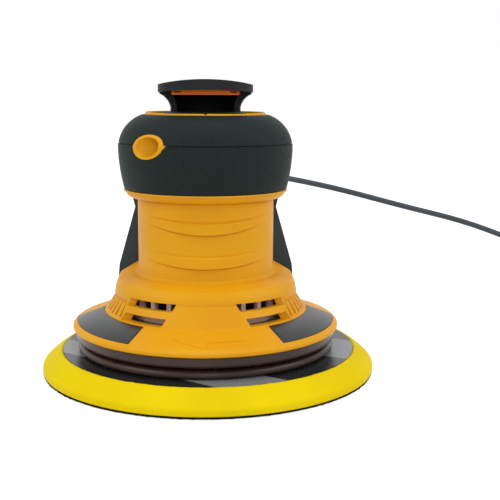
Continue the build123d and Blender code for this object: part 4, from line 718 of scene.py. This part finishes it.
DROP_ENDS_Y, DROP_RUN = 6.0, 14.0
RIM_Z, RIM_RUN, RIM_RISE = 114.85, 20.0, 0.6


def shoulder_share(spot):
    """How much of the drop a point of the shoulder's outside takes: all in front, none behind."""
    inside = hypot(spot.x, spot.y) < (FLANK_R if spot.z < FLANK_TOP else FOOT_R)
    if inside or not SHOULDER_LOW < spot.z < SHOULDER_HIGH:
        return 0.0
    for (z1, drop1), (z2, drop2) in zip(SHOULDER_DROP, SHOULDER_DROP[1:]):
        if spot.z <= z2 + 0.01:
            drop = drop1 + (drop2 - drop1) * (spot.z - z1) / (z2 - z1)
            break
    ahead = min(max((DROP_ENDS_Y - spot.y) / DROP_RUN, 0.0), 1.0)
    return drop / SHOULDER_DROP[-1][1] * ahead * ahead * (3 - 2 * ahead)


def rim_share(spot):
    """The deck's rim is low in front and rises towards the sides."""
    return min(max((spot.y + RIM_RUN) / RIM_RUN, 0.0), 1.0) if spot.z > RIM_Z else 0.0


nudge(shell, shoulder_share, -SHOULDER_DROP[-1][1])
nudge(shell, rim_share, RIM_RISE)
NECK_R, BAND_R, BAND_SHIFT, BAND_BACK_R = 30.4, 29.3, -2.6, 28.4
BANDS = ((50.5, 0.0039, 55.5, 0.0027), (64.9, 0.0062, 69.9, 0.0034))


def wall_front(x, radius, shift=0.0):
    """Where the front of a round wall lies at x."""
    return shift - sqrt(radius * radius - x * x)


bands, cutters = [], []
for foot, foot_bow, head, head_bow in BANDS:
    rows = []
    for x in range(-27, 28):
        front, back = wall_front(x, BAND_R, BAND_SHIFT), wall_front(x, BAND_BACK_R)
        low, high = foot + foot_bow * x * x, head + head_bow * x * x
        slope = [(x, front, high - 0.95), (x, front + 0.28, high - 0.45), (x, front + 0.95, high)]
        rows.append([(x, back, low), (x, front, low)] + slope + [(x, back, high)])
    bands.append(bridged("neck_band", rows))
    rows = []
    for x in range(-24, 25):
        outside, low = wall_front(x, NECK_R) - 0.45, foot + foot_bow * x * x
        inside = wall_front(x, NECK_R) + 0.3 * (1 - (x / 24.5) ** 4)
        rows.append(rectangle((x, inside, low - 0.55), (x, outside, low + 0.1)))
    cutters.append(bridged("crease", rows))
combine(shell, joined(*bands), "UNION")
print("housing wall faces", len(shell.data.polygons))

# %% [markdown]
# Cooling air leaves through four slots at the front, and fine grooves stand beside them in a field
# that steps back under the shoulder. The film badges lie in shallow recesses of the skirt. All of
# these are cutters: the slots and grooves are small blocks with rounded corners, and a recess is a
# strip of the skirt's own cone, cut off along a slanted front edge. The two fields are cut first,
# because the grooves overlap them, and one boolean cuts the rest.

# %% Slots, grooves and recesses
SLOTS = ((27.9, 16.5, 26.5), (33.9, 12.2, 25.0))
SLOT_H, SLOT_SLANT, SLOT_REACH, SLOT_DEPTH = 3.3, 1.9, 62, 36
for low, inner, back in SLOTS:
    for side in (-1, 1):
        outline = [
            (side * SLOT_REACH, -back, low), (side * SLOT_REACH, -back, low + SLOT_H),
            (side * inner, -back, low + SLOT_H), (side * (inner + SLOT_SLANT), -back, low),
        ]
        cutters.append(block("slot", outline, (0, -SLOT_DEPTH, 0), 0.55))


def sector(name, outline, start, sweep, steps):
    """Spin a filled outline of (radius, height) points through part of a turn, and stay in edit mode."""
    turn = radians(start)
    obj = trace(name, [(r * cos(turn), r * sin(turn), z) for r, z in outline])
    everything()
    bpy.ops.mesh.edge_face_add()
    bpy.ops.mesh.spin(steps=steps, angle=-radians(sweep), center=(0, 0, 0), axis=(0, 0, 1))
    everything()
    bpy.ops.mesh.remove_doubles(threshold=WELD)
    everything()
    return obj


FIELD = [(40.1, 35.7), (43.0, 35.7), (47.0, 28.1), (45.1, 28.05)]
FIELD_STARTS, FIELD_SWEEP = (-35, 149), 66
for start in FIELD_STARTS:
    combine(shell, clean(sector("groove_field", FIELD, start, FIELD_SWEEP, 60)), "DIFFERENCE")
WALL_LEAN = Matrix.Rotation(radians(-25.5), 4, "Y")
GROOVES = (56.0, 61.5, 67.0, 72.5, 78.0, 83.5, 89.0)
GROOVE_R, GROOVE_Z = 0.0432, 0.0323
for side in (-1, 1):
    for azimuth in GROOVES:
        groove = block("groove", rectangle((-1.5, -0.85, -3.8), (1.5, 0.85, -3.8)), (0, 0, 7.6))
        soften(groove, 0.45, 3)
        turn = Matrix.Rotation(radians(side * azimuth - 90), 4, "Z")
        spot = turn @ Matrix.Translation((GROOVE_R, 0, 0))
        groove.data.transform(Matrix.Translation((0, 0, GROOVE_Z)) @ spot @ WALL_LEAN)
        cutters.append(groove)

SKIRT_TOP = Vector((45.2, 27.8))
SKIRT_ALONG = Vector((13.4, -5.0)).normalized()
SKIRT_OUT = Vector((5.0, 13.4)).normalized()
BADGE_FRONT = (26.3, -38.0)
BADGE_LEAN = radians(27.5)
BADGE_NEAR, BADGE_FAR = 0.9, 13.4
BADGE_START, BADGE_SWEEP = -70, 72.5


def badge_strip(name, side, grow, low, high):
    """A strip of the skirt's cone from the slanted front edge round to the side."""
    near, far = BADGE_NEAR - grow, BADGE_FAR + grow
    edge = []
    for reach, lift in ((near, low), (far, low), (far, high), (near, high)):
        spot = SKIRT_TOP + SKIRT_ALONG * reach + SKIRT_OUT * lift
        edge.append((spot.x, spot.y))
    strip = sector(name, edge, BADGE_START, BADGE_SWEEP + grow, 50)
    front = Vector((BADGE_FRONT[0] - grow, BADGE_FRONT[1], 0)) * MM
    normal = Vector((cos(BADGE_LEAN), sin(BADGE_LEAN), 0))
    bpy.ops.mesh.bisect(plane_co=front, plane_no=normal, use_fill=True, clear_inner=True)
    if side < 0:
        everything()
        bpy.ops.transform.resize(value=(-1, 1, 1), center_override=(0, 0, 0))
    return clean(strip)


for side in (-1, 1):
    cutters.append(badge_strip("recess", side, 0.3, -0.5, 2.0))
cutters.append(block("duct_hole", rectangle((-14.05, 44.95, 19), (14.05, 56.05, 19)), (0, 0, 18)))
for half, low, high, y in ((0.5, 114.3, 116.0, -28.0), (0.14, 79.6, 82.0, -38.4)):
    outline = rectangle((-half, y, low), (half, y, high))
    cutters.append(block("parting_notch", outline, (0, 3, 0)))
combine(shell, joined(*cutters), "DIFFERENCE")
print("slots, grooves and recesses cut:", len(cutters))

# %% [markdown]
# The shell is now parted. Each half is the shell without the other side's space, with its edges
# rounded afterwards, so that a fine parting line runs down the front of skirt, neck and deck. The
# left half also carries two screw wells: tubes that rise through the grip and end flush with it, each
# with a small point where it meets the grip's seam. A fine raised line on the lip is the mould's
# witness line.

# %% Housing halves
WELL_Z, WELL_Y = 101.5, 29.2


def grip_outline(inset, seam=True):
    """The grip's outside from foot to deck rim, moved inwards, with or without its seam groove."""
    points = arc((36.2 - inset, 81.8), (37.9 - inset, 90.3), (38.7 - inset, 98.8), 10)
    points += [(38.7 - inset, 101.75)]
    if seam:
        points += [(38.1 - inset, 102.0), (38.1 - inset, 102.2)]
    points += [(38.45 - inset, 102.45)]
    middle = (35.25 - 0.743 * inset, 109.36 - 0.669 * inset)
    return points + arc((38.45 - inset, 102.45), middle, (26.8, 114.8 - inset), 14)[1:]


def well_bar(name, side, radius, low, high):
    """A bar across one side with a small point towards the seam."""
    bar = tube(name, "X", (0, side * WELL_Y, WELL_Z), radius, low, high, 64)
    bpy.ops.object.mode_set(mode="EDIT")
    for reach, shift in ((0.15, 0.2), (0.03, 0.3)):

        def at_point(vert):
            """Whether a point of the rim lies within reach of the seam's height."""
            spot = vert.co / MM - Vector((0, side * WELL_Y, WELL_Z))
            at_rim = hypot(spot.y, spot.z) > 0.5 * radius
            return at_rim and abs(atan2(spot.z, side * spot.y)) < reach

        pick(bar, "VERT", at_point)
        bpy.ops.transform.translate(value=(0, side * shift * MM, 0))
    focus(bar)
    return bar


def half_space(side):
    """A large block that fills one side of the parting plane."""
    return block("half_space", rectangle((0, -80, 10), (side * 80, 130, 10)), (0, 0, 120))


def parted(whole, name, side):
    """A copy of a whole shell that keeps one side of the parting plane."""
    half = whole.copy()
    half.data = whole.data.copy()
    bpy.context.scene.collection.objects.link(half)
    half.name = half.data.name = name + "_shell"
    return combine(half, half_space(side), "INTERSECT")


HALVES = (("left", -1), ("right", 1))
halves = {side: parted(shell, "housing_" + name, side) for name, side in HALVES}
bpy.data.objects.remove(shell)
for end in (-1, 1):
    bar = well_bar("well", end, 5.15, -41, -11)
    outline = [(0, 81.8)] + grip_outline(-0.12, False) + [(0, 114.9)]
    envelope = lathe("envelope", outline, closed=False, steps=192)
    combine(bar, envelope, "INTERSECT")
    combine(halves[-1], bar, "UNION")
    bore = tube("bore", "X", (0, end * (WELL_Y + 0.25), WELL_Z), 4.1, -42, -13, 64)
    combine(halves[-1], bore, "DIFFERENCE")
LIP_LINES = {
    -1: ((51.3, -15.2), (54.6, -8.5), (57.4, -0.9)),
    1: ((57.8, 0.3), (53.7, 0.3), (53.5, 9.0), (53.2, 18.6)),
}
LIP_STEPS, LIP_TOP, LIP_FALL = 8, 27.6, 4.9 / 13.2
for name, side in HALVES:
    weighted(soften(halves[side], 0.22, 2, 40.0))
    edge = []
    for (r1, a1), (r2, a2) in zip(LIP_LINES[side], LIP_LINES[side][1:]):
        for i in range(LIP_STEPS):
            r, a = r1 + (r2 - r1) * i / LIP_STEPS, radians(a1 + (a2 - a1) * i / LIP_STEPS)
            edge.append((r * sin(a), -r * cos(a), LIP_TOP - (r - SKIRT_TOP.x) * LIP_FALL))
    ribbon = trace("lip_line", edge)
    everything()
    bpy.ops.mesh.extrude_region_move(TRANSFORM_OT_translate={"value": (0, 0, 0.42 * MM)})
    modify(clean(ribbon), "SOLIDIFY", thickness=0.3 * MM, offset=0.0)
    joined(halves[side], ribbon)
    settle(halves[side], "housing", "housing_yellow", "housing_" + name)

# %% [markdown]
# ## Grip
# The charcoal overmould hugs the head. It has a belly, a fine groove along its seam and a soft crown
# that ends at the deck's rim. A solidified sphere would give the curve but not the groove, so the
# grip is one turned wall outline too.

# %% Grip
outer = grip_outline(0.0)
outer = [(36.0, 81.95), (36.25, 82.2)] + outer[1:-1] + [(27.2, 114.45), (26.85, 114.35)]
inner = list(reversed(grip_outline(2.3)))
cover = lathe("grip_overmould", outer + inner, steps=192)
wells = joined(*[well_bar("well_gap", end, 5.2, -45, -1) for end in (-1, 1)])
combine(cover, wells, "DIFFERENCE")
weighted(soften(cover, 0.16, 2, 40.0))
settle(cover, "housing", "grip_rubber", "grip_cover")

# %% [markdown]
# ## Badges
# Dark films lie in the recesses of the skirt, bare and slightly glossy. The same strip of cone that cut
# the recess makes the film, only thinner and without the added margin.

# %% Badges
for name, side in HALVES:
    film = badge_strip("badge_" + name + "_film", side, 0.0, -0.45, 0.02)
    soften(film, 0.08, 2)
    settle(film, "housing", "badge_black", "badge_" + name)

# %% [markdown]
# ## Lever
# The paddle on top is pressed by the palm. Its cap is crowned from side to side and has large round
# corners. It sits on a hollow spool that flares into it, and the spool is open at the front. A flat
# rounded plate would lack the crown, so a slab with a curved top is cut to the cap's plan, and the
# turned spool, with its mouth cut out, is fused to it.

# %% Lever
LEVER_TOP, TOP_BEND = 129.4, 100.0
LEVER_FOOT, FOOT_BEND = 125.12, 196.0


def crown(x, height, bend):
    """The height of a crowned face at x."""
    return height - x * x / (2 * bend)


steps_x = [-24 + i for i in range(49)]
slab_edge = [(x, -30, crown(x, LEVER_FOOT, FOOT_BEND)) for x in steps_x]
slab_edge += [(x, -30, crown(x, LEVER_TOP, TOP_BEND)) for x in reversed(steps_x)]
cap = block("lever_paddle", slab_edge, (0, 60, 0))
plan = rectangle((-20.5, -25, 116), (20.5, 26, 116))
combine(cap, block("plan", plan, (0, 0, 20), 15.0, 14), "INTERSECT")
soften(cap, 1.0, 4, 50.0)
spool_edge = [(13.4, 105.0), (15.3, 105.0), (15.6, 105.3), (15.6, 112.0)]
spool_edge += arc((15.5, 117.6), (16.95, 120.8), (20.35, 123.45), 12)
spool_edge += [(20.35, 126.3), (15.7, 126.3)]
spool_edge += arc((15.7, 123.9), (14.2, 121.4), (13.4, 118.6), 8) + [(13.4, 112.0)]
spool = lathe("spool", spool_edge, steps=128)
mouth = rectangle((-30, -4.6, 112), (30, -4.6, 127))
combine(spool, block("mouth", mouth, (0, -40, 0)), "DIFFERENCE")
combine(spool, tube("floor_disc", "Z", (0, 0, 0), 14.5, 109.0, 112.0, 96), "UNION")
combine(cap, spool, "UNION")
weighted(soften(cap, 0.3, 2, 50.0))
settle(cap, "lever", "black_plastic", "lever")

# %% [markdown]
# An orange bar closes the gap under the cap's front, with a thin slit near each end. It follows the
# crown above it, so its outline has a curved top.

# %% Lever insert and collar
BAR_Y, BAR_LOW, BAR_HALF, BAR_GAP = -17.5, 122.95, 14.3, 0.02
bar_edge = [(-BAR_HALF, BAR_Y, BAR_LOW), (BAR_HALF, BAR_Y, BAR_LOW)]
for x in (BAR_HALF, 10, 5, 0, -5, -10, -BAR_HALF):
    bar_edge.append((x, BAR_Y, crown(x, LEVER_FOOT, FOOT_BEND) - BAR_GAP))
insert = block("lever_bar", bar_edge, (0, 6.0, 0))
slits = []
for side in (-1, 1):
    corners = ((10.4, 124.0), (13.5, 123.95), (13.5, 124.4), (10.4, 124.5))
    edge = [(side * x, BAR_Y - 1, z) for x, z in corners]
    slits.append(block("slit", edge, (0, 8.0, 0)))
combine(insert, joined(*slits), "DIFFERENCE")
soften(insert, 0.15, 2)
settle(insert, "lever", "orange_plastic", "lever_insert")
collar_edge = [(16.62, 114.7), (18.9, 114.7)] + arc((18.9, 114.8), (17.35, 115.15), (16.8, 115.75), 6)
collar = lathe("lever_foot_collar", collar_edge + [(16.62, 115.75)], steps=128)
soften(collar, 0)
settle(collar, "housing", "black_plastic", "lever_collar")

# %% [markdown]
# A small coil under the lever's floor pushes it up again. Its foot sits on the housing and its head
# under the lever. The screw tool could turn a coil as well, but a traced chain made into a curve keeps
# the wire round.

# %% Return spring
SPRING_Y, SPRING_R, WIRE_R = -3.5, 4.0, 0.55
SPRING_LOW, SPRING_HIGH, SPRING_TURNS = 98.55, 108.15, 4
coil = []
coil_steps = 24 * SPRING_TURNS
for i in range(coil_steps + 1):
    turn = radians(-15 * i)
    height = SPRING_LOW + (SPRING_HIGH - SPRING_LOW) * i / coil_steps
    coil.append((SPRING_R * cos(turn), SPRING_Y + SPRING_R * sin(turn), height))
spring = trace("return_spring", coil)
focus(spring)
bpy.ops.object.convert(target="CURVE")
spring.data.bevel_depth = WIRE_R * MM
spring.data.bevel_resolution = 3
spring.data.use_fill_caps = True
bpy.ops.object.convert(target="MESH")
bpy.ops.object.mode_set(mode="EDIT")
soften(clean(spring), 0, smooth=60.0)
spring.data.materials.clear()
spring.data.materials.append(finishes["zinc_steel"])
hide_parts("lever_spring")
foot, head = [(0, SPRING_Y * MM, height * MM) for height in (SPRING_LOW, SPRING_HIGH)]
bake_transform(spring)
print(spring.name, "bends from housing to lever, faces", len(spring.data.polygons))

# %% [markdown]
# ## Brake skirt
# A rubber bellows hangs under the rim and brushes the plate, which keeps the pad from racing when it is
# lifted. Its two folds are full and round, with a deep crease between them. It could be a tube with a
# wave modifier, but the folds differ in size, so the wall is drawn and spun.

# %% Brake skirt
fold = [(50.6, 20.0), (57.7, 20.0)] + arc((57.7, 20.0), (58.4, 19.7), (58.6, 19.0), 5)[1:]
fold += [(58.62, 17.6)] + arc((58.5, 16.6), (58.1, 15.5), (57.0, 15.15), 6)
fold += arc((54.4, 14.75), (53.75, 14.45), (54.4, 14.15), 5)
fold += arc((55.6, 13.95), (57.15, 13.2), (57.65, 12.1), 8)
fold += arc((57.65, 11.9), (57.35, 10.85), (56.4, 10.5), 6)[1:]
fold += [(49.6, 10.5), (49.6, 11.4), (55.4, 11.6), (55.7, 12.3), (52.1, 14.45), (56.7, 16.6)]
fold += [(57.0, 18.4), (50.6, 18.4)]
bellows = lathe("rubber_bellows", fold, steps=192)
soften(bellows, 0)
settle(bellows, "housing", "bellows_rubber", "brake_skirt")

# %% [markdown]
# ## Foam and hook layer
# The cushion is yellow foam with a smooth skin, bevelled towards the plate, and a thin hook layer is
# glued under it. Six dust holes pass through both. The foam's upper lip is cut by hand in the factory
# and a little uneven, and the hook layer's rim is ragged, so these rings of points are shaken with the
# randomize tool.

# %% Foam and hook layer
HOLE_RING, HOLE_R = 40, 5.0


def dust_holes():
    """Six round cutters through the pad."""
    turns = [radians(angle) for angle in range(30, 390, 60)]
    spots = [(PAD_X + HOLE_RING * cos(turn), HOLE_RING * sin(turn), 0) for turn in turns]
    return joined(*[tube("dust_hole", "Z", spot, HOLE_R, -1, 12, 40) for spot in spots])


def shake(obj, chosen, amount, seed):
    """Move the chosen points by a small random amount."""
    focus(obj)
    bpy.ops.object.mode_set(mode="EDIT")
    pick(obj, "VERT", lambda v: chosen(hypot(v.co.x / MM - PAD_X, v.co.y / MM), v.co.z / MM))
    bpy.ops.transform.vertex_random(offset=amount * MM, uniform=0.0, normal=0.0, seed=seed)
    focus(obj)


foam_edge = [(12, 1.5), (72.6, 1.5), (73.4, 1.02), (74.4, 1.02)]
foam_edge += arc((74.4, 1.02), (74.85, 1.2), (75.0, 1.6), 4)[1:]
foam_edge += arc((75.0, 2.9), (74.75, 3.9), (74.1, 4.75), 6)
foam_edge += arc((74.1, 4.75), (70.9, 7.55), (67.1, 10.12), 10)[1:]
foam_edge += [(66.7, 10.24), (66.3, 10.22), (66.0, 9.95), (65.95, 7.2), (12, 7.2)]
foam = lathe("foam_cushion", foam_edge, centre=(PAD_X, 0, 0), steps=288)
combine(foam, dust_holes(), "DIFFERENCE")
shake(foam, lambda reach, z: 65.97 < reach < 66.5 and z > 9.9, 0.16, 5)
soften(foam, 0, smooth=50.0)
settle(foam, "pad", "pad_foam_yellow", "pad_foam")
hook_edge = [(12, 0.0), (74.2, 0.0), (74.7, 0.2), (74.9, 0.55), (74.75, 0.9), (74.3, 1.0)]
hook_edge += [(73.4, 1.0), (72.6, 1.48), (12, 1.48)]
hook = lathe("hook_layer", hook_edge, centre=(PAD_X, 0, 0), steps=420)
combine(hook, dust_holes(), "DIFFERENCE")
shake(hook, lambda reach, z: reach > 74.6, 0.24, 9)
soften(hook, 0, smooth=20.0)
settle(hook, "pad", "pad_hook_black", "pad_hook")

# %% [markdown]
# ## Tail
# Behind the body a black tail saddles neck and skirt. It carries the dust outlet, the buttons and the
# lead. Its planar form tapers through three rings of corners, so the rings are traced and bridged. A
# smaller copy hollows it, the body's own outline, a hair larger, cuts the saddle, and round bars give
# the bosses that the screws sit in. Rounding the long edges first keeps their curve even.

# %% Tail
TAIL_RINGS = (
    (12.0, ((42.0, 24.0), (40.3, 45.0), (32.6, 72.0), (34.5, 80.0))),
    (58.0, ((27.0, 22.0), (27.0, 45.0), (25.0, 72.0), (25.0, 86.0))),
    (120.0, ((19.0, 32.0), (20.0, 50.0), (20.0, 72.0), (19.0, 86.0))),
)
TAIL_SCREWS = ((70.0, 32.5), (66.0, 71.0), (104.0, 71.0))
OUTLET_Z, LEAD_Z, SADDLE_GAP = 52, 76, 0.25
BUTTONS = (
    ("power_button", 74.0, 5.0),
    ("speed_up_button", 89.0, 3.6),
    ("speed_down_button", 101.0, 3.6),
)


def tail_form(name, inset):
    """The tail's block, bridged through its rings and moved inwards."""
    rows = []
    for y, corners in TAIL_RINGS:
        y = min(max(y, TAIL_RINGS[0][0] + inset), TAIL_RINGS[-1][0] - inset)
        side = [(half - inset, height) for half, height in corners]
        side[0] = (side[0][0], side[0][1] + inset)
        side[-1] = (side[-1][0], side[-1][1] - inset)
        rows.append([(x, y, z) for x, z in side] + [(-x, y, z) for x, z in reversed(side)])
    return bridged(name, rows)


def hard_behind(rim):
    """Whether an edge of the tail is hard and does not lie in its front face."""
    in_front = all(vert.co.y < 13 * MM for vert in rim.verts)
    return rim.calc_face_angle() > radians(40) and not in_front


tail = tail_form("tail_form", 0.0)
bpy.ops.object.mode_set(mode="EDIT")
pick(tail, "EDGE", hard_behind)
bpy.ops.mesh.bevel(offset=2.6 * MM, segments=6, affect="EDGES")
clean(tail)
combine(tail, tail_form("hollow", 2.4), "DIFFERENCE")
for y, z in TAIL_SCREWS:
    boss = tube("boss", "X", (0, y, z), 5.0, -45, 45, 40)
    combine(boss, tail_form("limit", 0.6), "INTERSECT")
    combine(tail, boss, "UNION")
saddle_edge = [(0, 20.0)] + [(r + SADDLE_GAP, z) for r, z in housing_out]
saddle_edge += grip_outline(-SADDLE_GAP, False) + [(0, 114.9)]
openings = [
    lathe("saddle", saddle_edge, closed=False, steps=160),
    tube("outlet_hole", "Y", (0, 0, OUTLET_Z), 13.25, 113, 123, 64),
    tube("lead_hole", "Y", (0, 0, LEAD_Z), 5.25, 113, 123, 48),
    block("duct_hole", rectangle((-14.3, 44.7, 18), (14.3, 56.3, 18)), (0, 0, 16)),
]
openings += [tube("button_hole", "Z", (0, y, 0), r + 0.15, 82.5, 88, 48) for _, y, r in BUTTONS]
for y, z in TAIL_SCREWS:
    openings.append(tube("head_hole", "X", (0, y, z), 3.2, -45, -8, 48))
    openings.append(tube("screw_hole", "X", (0, y, z), 1.55, -9, 9, 32))
for opening in openings:
    combine(tail, opening, "DIFFERENCE")
for name, side in HALVES:
    half = parted(tail, "tail_" + name, side)
    weighted(soften(half, 0.3, 2, 35.0))
    settle(half, "housing", "black_plastic", "tail_" + name, finish=finishes["tail_plastic"])
bpy.data.objects.remove(tail)
outlet_edge = [(12.0, 112.0), (13.2, 112.0), (13.2, 115.6), (16.5, 115.6), (16.5, 117.5)]
outlet_edge += [(13.2, 117.5), (13.2, 120.0), (14.0, 120.05)]
for y in (131.0, 137.0):
    outlet_edge += [(14.0, y), (13.75, y + 0.3), (13.75, y + 1.5), (14.0, y + 1.8)]
outlet_edge += [(14.0, 149.2)] + arc((14.0, 149.2), (13.75, 149.8), (13.2, 150.0), 4)[1:]
outlet_edge += [(12.6, 150.0)] + arc((12.6, 150.0), (12.2, 149.8), (12.0, 149.4), 4)[1:]
outlet = lathe("dust_outlet_tube", outlet_edge, "Y", (0, 0, OUTLET_Z), steps=128)
soften(outlet, 0)
settle(outlet, "housing", "black_plastic", "dust_outlet", finish=finishes["tail_plastic"])

# %% [markdown]
# ## Controls
# A smooth film on the tail carries three round buttons: power, with a raised ring, and two for the
# speed with a raised plus and minus. Each is turned with a dome and a flange that holds it under the
# tail's top. A rounded cylinder would do for the dome, but it would have no flange.

# %% Controls
panel = block("control_film", rectangle((-13.5, 65, 86), (13.5, 111, 86)), (0, 0, 1.0), 4.0, 8)
holes = joined(*[tube("hole", "Z", (0, y, 0), r + 0.3, 85, 88) for _, y, r in BUTTONS])
combine(panel, holes, "DIFFERENCE")
soften(panel, 0.3, 3)
settle(panel, "housing", "panel_film", "control_panel")


def raised_bar(y, long_x, long_y):
    """A low bar on top of a button."""
    edge = rectangle((-long_x, y - long_y, 88.0), (long_x, y + long_y, 88.0))
    return block("mark", edge, (0, 0, 0.55), 0.2, 3)


for name, y, r in BUTTONS:
    side = [(0, 82.45), (r + 1.0, 82.45), (r + 1.0, 83.55), (r, 83.55), (r, 87.4)]
    side += arc((r, 87.4), (r - 0.22, 87.85), (r - 0.7, 88.08), 5)[1:] + [(0.55 * r, 88.3), (0, 88.4)]
    button = lathe(name + "_cap", side, centre=(0, y, 0), closed=False, steps=72)
    if name == "power_button":
        ring_edge = [(2.1, 88.0), (2.7, 88.0), (2.7, 88.5), (2.1, 88.5)]
        ring = lathe("mark", ring_edge, centre=(0, y, 0), steps=48)
        combine(button, ring, "UNION")
    else:
        combine(button, raised_bar(y, 1.5, 0.3), "UNION")
    if name == "speed_up_button":
        combine(button, raised_bar(y, 0.3, 1.5), "UNION")
    soften(button, 0.08, 2)
    settle(button, name, "button_plastic", name)

# %% [markdown]
# ## What sits on the lead
# The sleeve at the tail tapers and has five grooves, so that the lead bends gently. The plug is a flat
# two-pole one with round pins, and a strap holds the coil. They all go with the lead. Sleeve and pins
# are turned, and the plug's body is a block whose back is drawn out and narrowed twice.

# %% Sleeve, plug and strap
GROOVE_SHAPE = ((0.05, -1.2), (-0.1, -0.85), (-0.8, -0.6), (-0.8, 0.6), (-0.1, 0.85), (0, 1.2))
sleeve_edge = [(2.02, 115.6), (6.4, 115.6), (6.6, 115.8), (6.6, 117.4), (6.4, 117.6), (5.2, 117.6)]
sleeve_edge += [(5.2, 120.0), (5.3, 120.4)]
for groove in range(1, 6):
    y = 120 + groove * 40 / 6
    r = 5.3 - 1.95 * groove / 6
    sleeve_edge += [(r + out, y + along) for out, along in GROOVE_SHAPE]
sleeve_edge += [(3.35, 159.5), (3.05, 160.0), (2.02, 160.0)]
sleeve = lathe("lead_sleeve", sleeve_edge, "Y", (0, 0, LEAD_Z), steps=64)
soften(sleeve, 0, smooth=50.0)
settle(sleeve, "housing", "cord_rubber", "strain_relief")
PLUG_X, PLUG_Z = 261.75, 6.85
wide, high = 35.3 / 2, 13.7 / 2
edge = rectangle((PLUG_X - wide, 14.5, PLUG_Z - high), (PLUG_X + wide, 14.5, PLUG_Z + high))
plug = block("plug_moulding", edge, (0, 14.0, 0), 5.7, 8)
bpy.ops.object.mode_set(mode="EDIT")
pick(plug, "FACE", lambda face: face.calc_center_median().y > 28.4 * MM)
for grow_x, grow_z in ((0.80, 0.90), (0.62, 0.95)):
    bpy.ops.mesh.extrude_region_move(TRANSFORM_OT_translate={"value": (0, 6.25 * MM, 0)})
    middle = (PLUG_X * MM, 0, PLUG_Z * MM)
    bpy.ops.transform.resize(value=(grow_x, 1, grow_z), center_override=middle)
clean(plug)
soften(plug, 1.0, 4, 40.0)
neck_edge = [(0, 38.0), (4.6, 38.0), (4.6, 43.0), (4.0, 43.4), (4.0, 44.4), (4.4, 44.8), (4.4, 46.4)]
neck_edge += [(3.8, 46.8), (3.8, 47.6), (4.1, 48.0), (4.1, 49.6), (3.7, 50.0), (0, 50.0)]
neck = lathe("neck", neck_edge, "Y", (PLUG_X, 0, PLUG_Z), False, 48)
combine(plug, neck, "UNION")
soften(plug, 0, smooth=35.0)
settle(plug, "housing", "cord_rubber", "plug_body")
pin_edge = [(0, 22.5), (1.6, 22.5), (1.6, 14.5), (2.0, 14.5), (2.0, -3.3), (1.75, -4.0)]
pin_edge += [(1.2, -4.4), (0, -4.5)]
pin_spots = [(PLUG_X + x, 0, PLUG_Z) for x in (-9.3, 9.3)]
pins = joined(*[lathe("pin", pin_edge, "Y", spot, False, 40) for spot in pin_spots])
pins.name = pins.data.name = "plug_round_pins"
soften(pins, 0)
settle(pins, "housing", "pin_nickel", "plug_pins")
edge = rectangle((196.4, 137.5, 0.02), (219.84, 137.5, 20.0))
strap = block("coil_strap", edge, (0, 9.0, 0), 2.4, 6)
edge = rectangle((197.2, 136.5, 0.8), (219.04, 136.5, 19.2))
combine(strap, block("gap", edge, (0, 11.0, 0), 1.6, 6), "DIFFERENCE")
soften(strap, 0.2, 2, 50.0)
settle(strap, "housing", "tie_strap", "cord_tie")

# %% [markdown]
# ## Screws
# Cross-recess screws close the halves of housing and tail from the left. One outline is turned for
# each, and two crossed blocks cut the recess. Threads are left off, because they sit out of sight.

# %% Screws
def screw(name, y, z, seat, end):
    """A pan-head screw along X with a crossed recess."""
    edge = [(0, end), (1.3, end), (1.5, end - 0.4), (1.5, seat), (3.0, seat), (3.0, seat - 1.3)]
    edge += arc((3.0, seat - 1.3), (2.5, seat - 1.95), (1.2, seat - 2.2), 6)[1:] + [(0, seat - 2.2)]
    body = lathe(name, edge, "X", (0, y, z), False, 40)
    for long_y, long_z in ((1.7, 0.32), (0.32, 1.7)):
        corners = (seat - 3, y - long_y, z - long_z), (seat - 3, y + long_y, z + long_z)
        combine(body, block("slot", rectangle(*corners), (2.0, 0, 0)), "DIFFERENCE")
    return body


SCREW_SETS = (
    ("housing_screws", [(-WELL_Y, WELL_Z), (WELL_Y, WELL_Z)], -13.0, 9.0),
    ("tail_screws", TAIL_SCREWS, -8.0, 8.0),
)
for name, spots, seat, end in SCREW_SETS:
    group = joined(*[screw("screw", y, z, seat, end) for y, z in spots])
    group.name = group.data.name = name + "_set"
    soften(group, 0)
    settle(group, "housing", "zinc_steel", name)

# %% [markdown]
# ## Inner parts
# Motor, bearings, electronics and dust path keep their CAD meshes, and so does the pad's plate, with its
# painted reflections. Each takes the finish of the slot that the record gives it, so that what shows
# through the slots, or in a cut view, is right as well. The fan is pale at its blade tips and painted
# dark brown further in, as painted shade deep in the housing, so its colour follows the distance from
# the axis. The baffle below it is pale too.

# %% Inner parts
# Painted shade: the fan turns dark brown towards the axis, where it lies deep in the housing.
FAN_PAINTED_SHADE, SHADE_FROM, SHADE_TO = (66, 40, 30), 0.0335, 0.0352
fan = finishes["fan_plastic"].node_tree
reach = axis_distance(fan, add(fan, "TexCoord").outputs["Object"], 0)
base = fan.nodes["Principled BSDF"].inputs["Base Color"]
unshaded_share = spread(fan, reach, SHADE_FROM, SHADE_TO, 0.0, 1.0)
fan.links.new(blend_colours(fan, unshaded_share, srgb(*FAN_PAINTED_SHADE), base.links[0].from_socket), base)
slot_of = {part["node"]: part["material_slot"] for part in frame["record"]["subparts"]}
special = {"pad_plate": reflected_plate, "baffle_plate": finishes["baffle_plastic"]}
shown = [name for name, node in nodes.items() if not node.hide_render]
for name in shown:
    nodes[name].data.materials.clear()
    nodes[name].data.materials.append(special.get(name) or finishes[slot_of[name]])
print("CAD nodes shown:", len(shown))
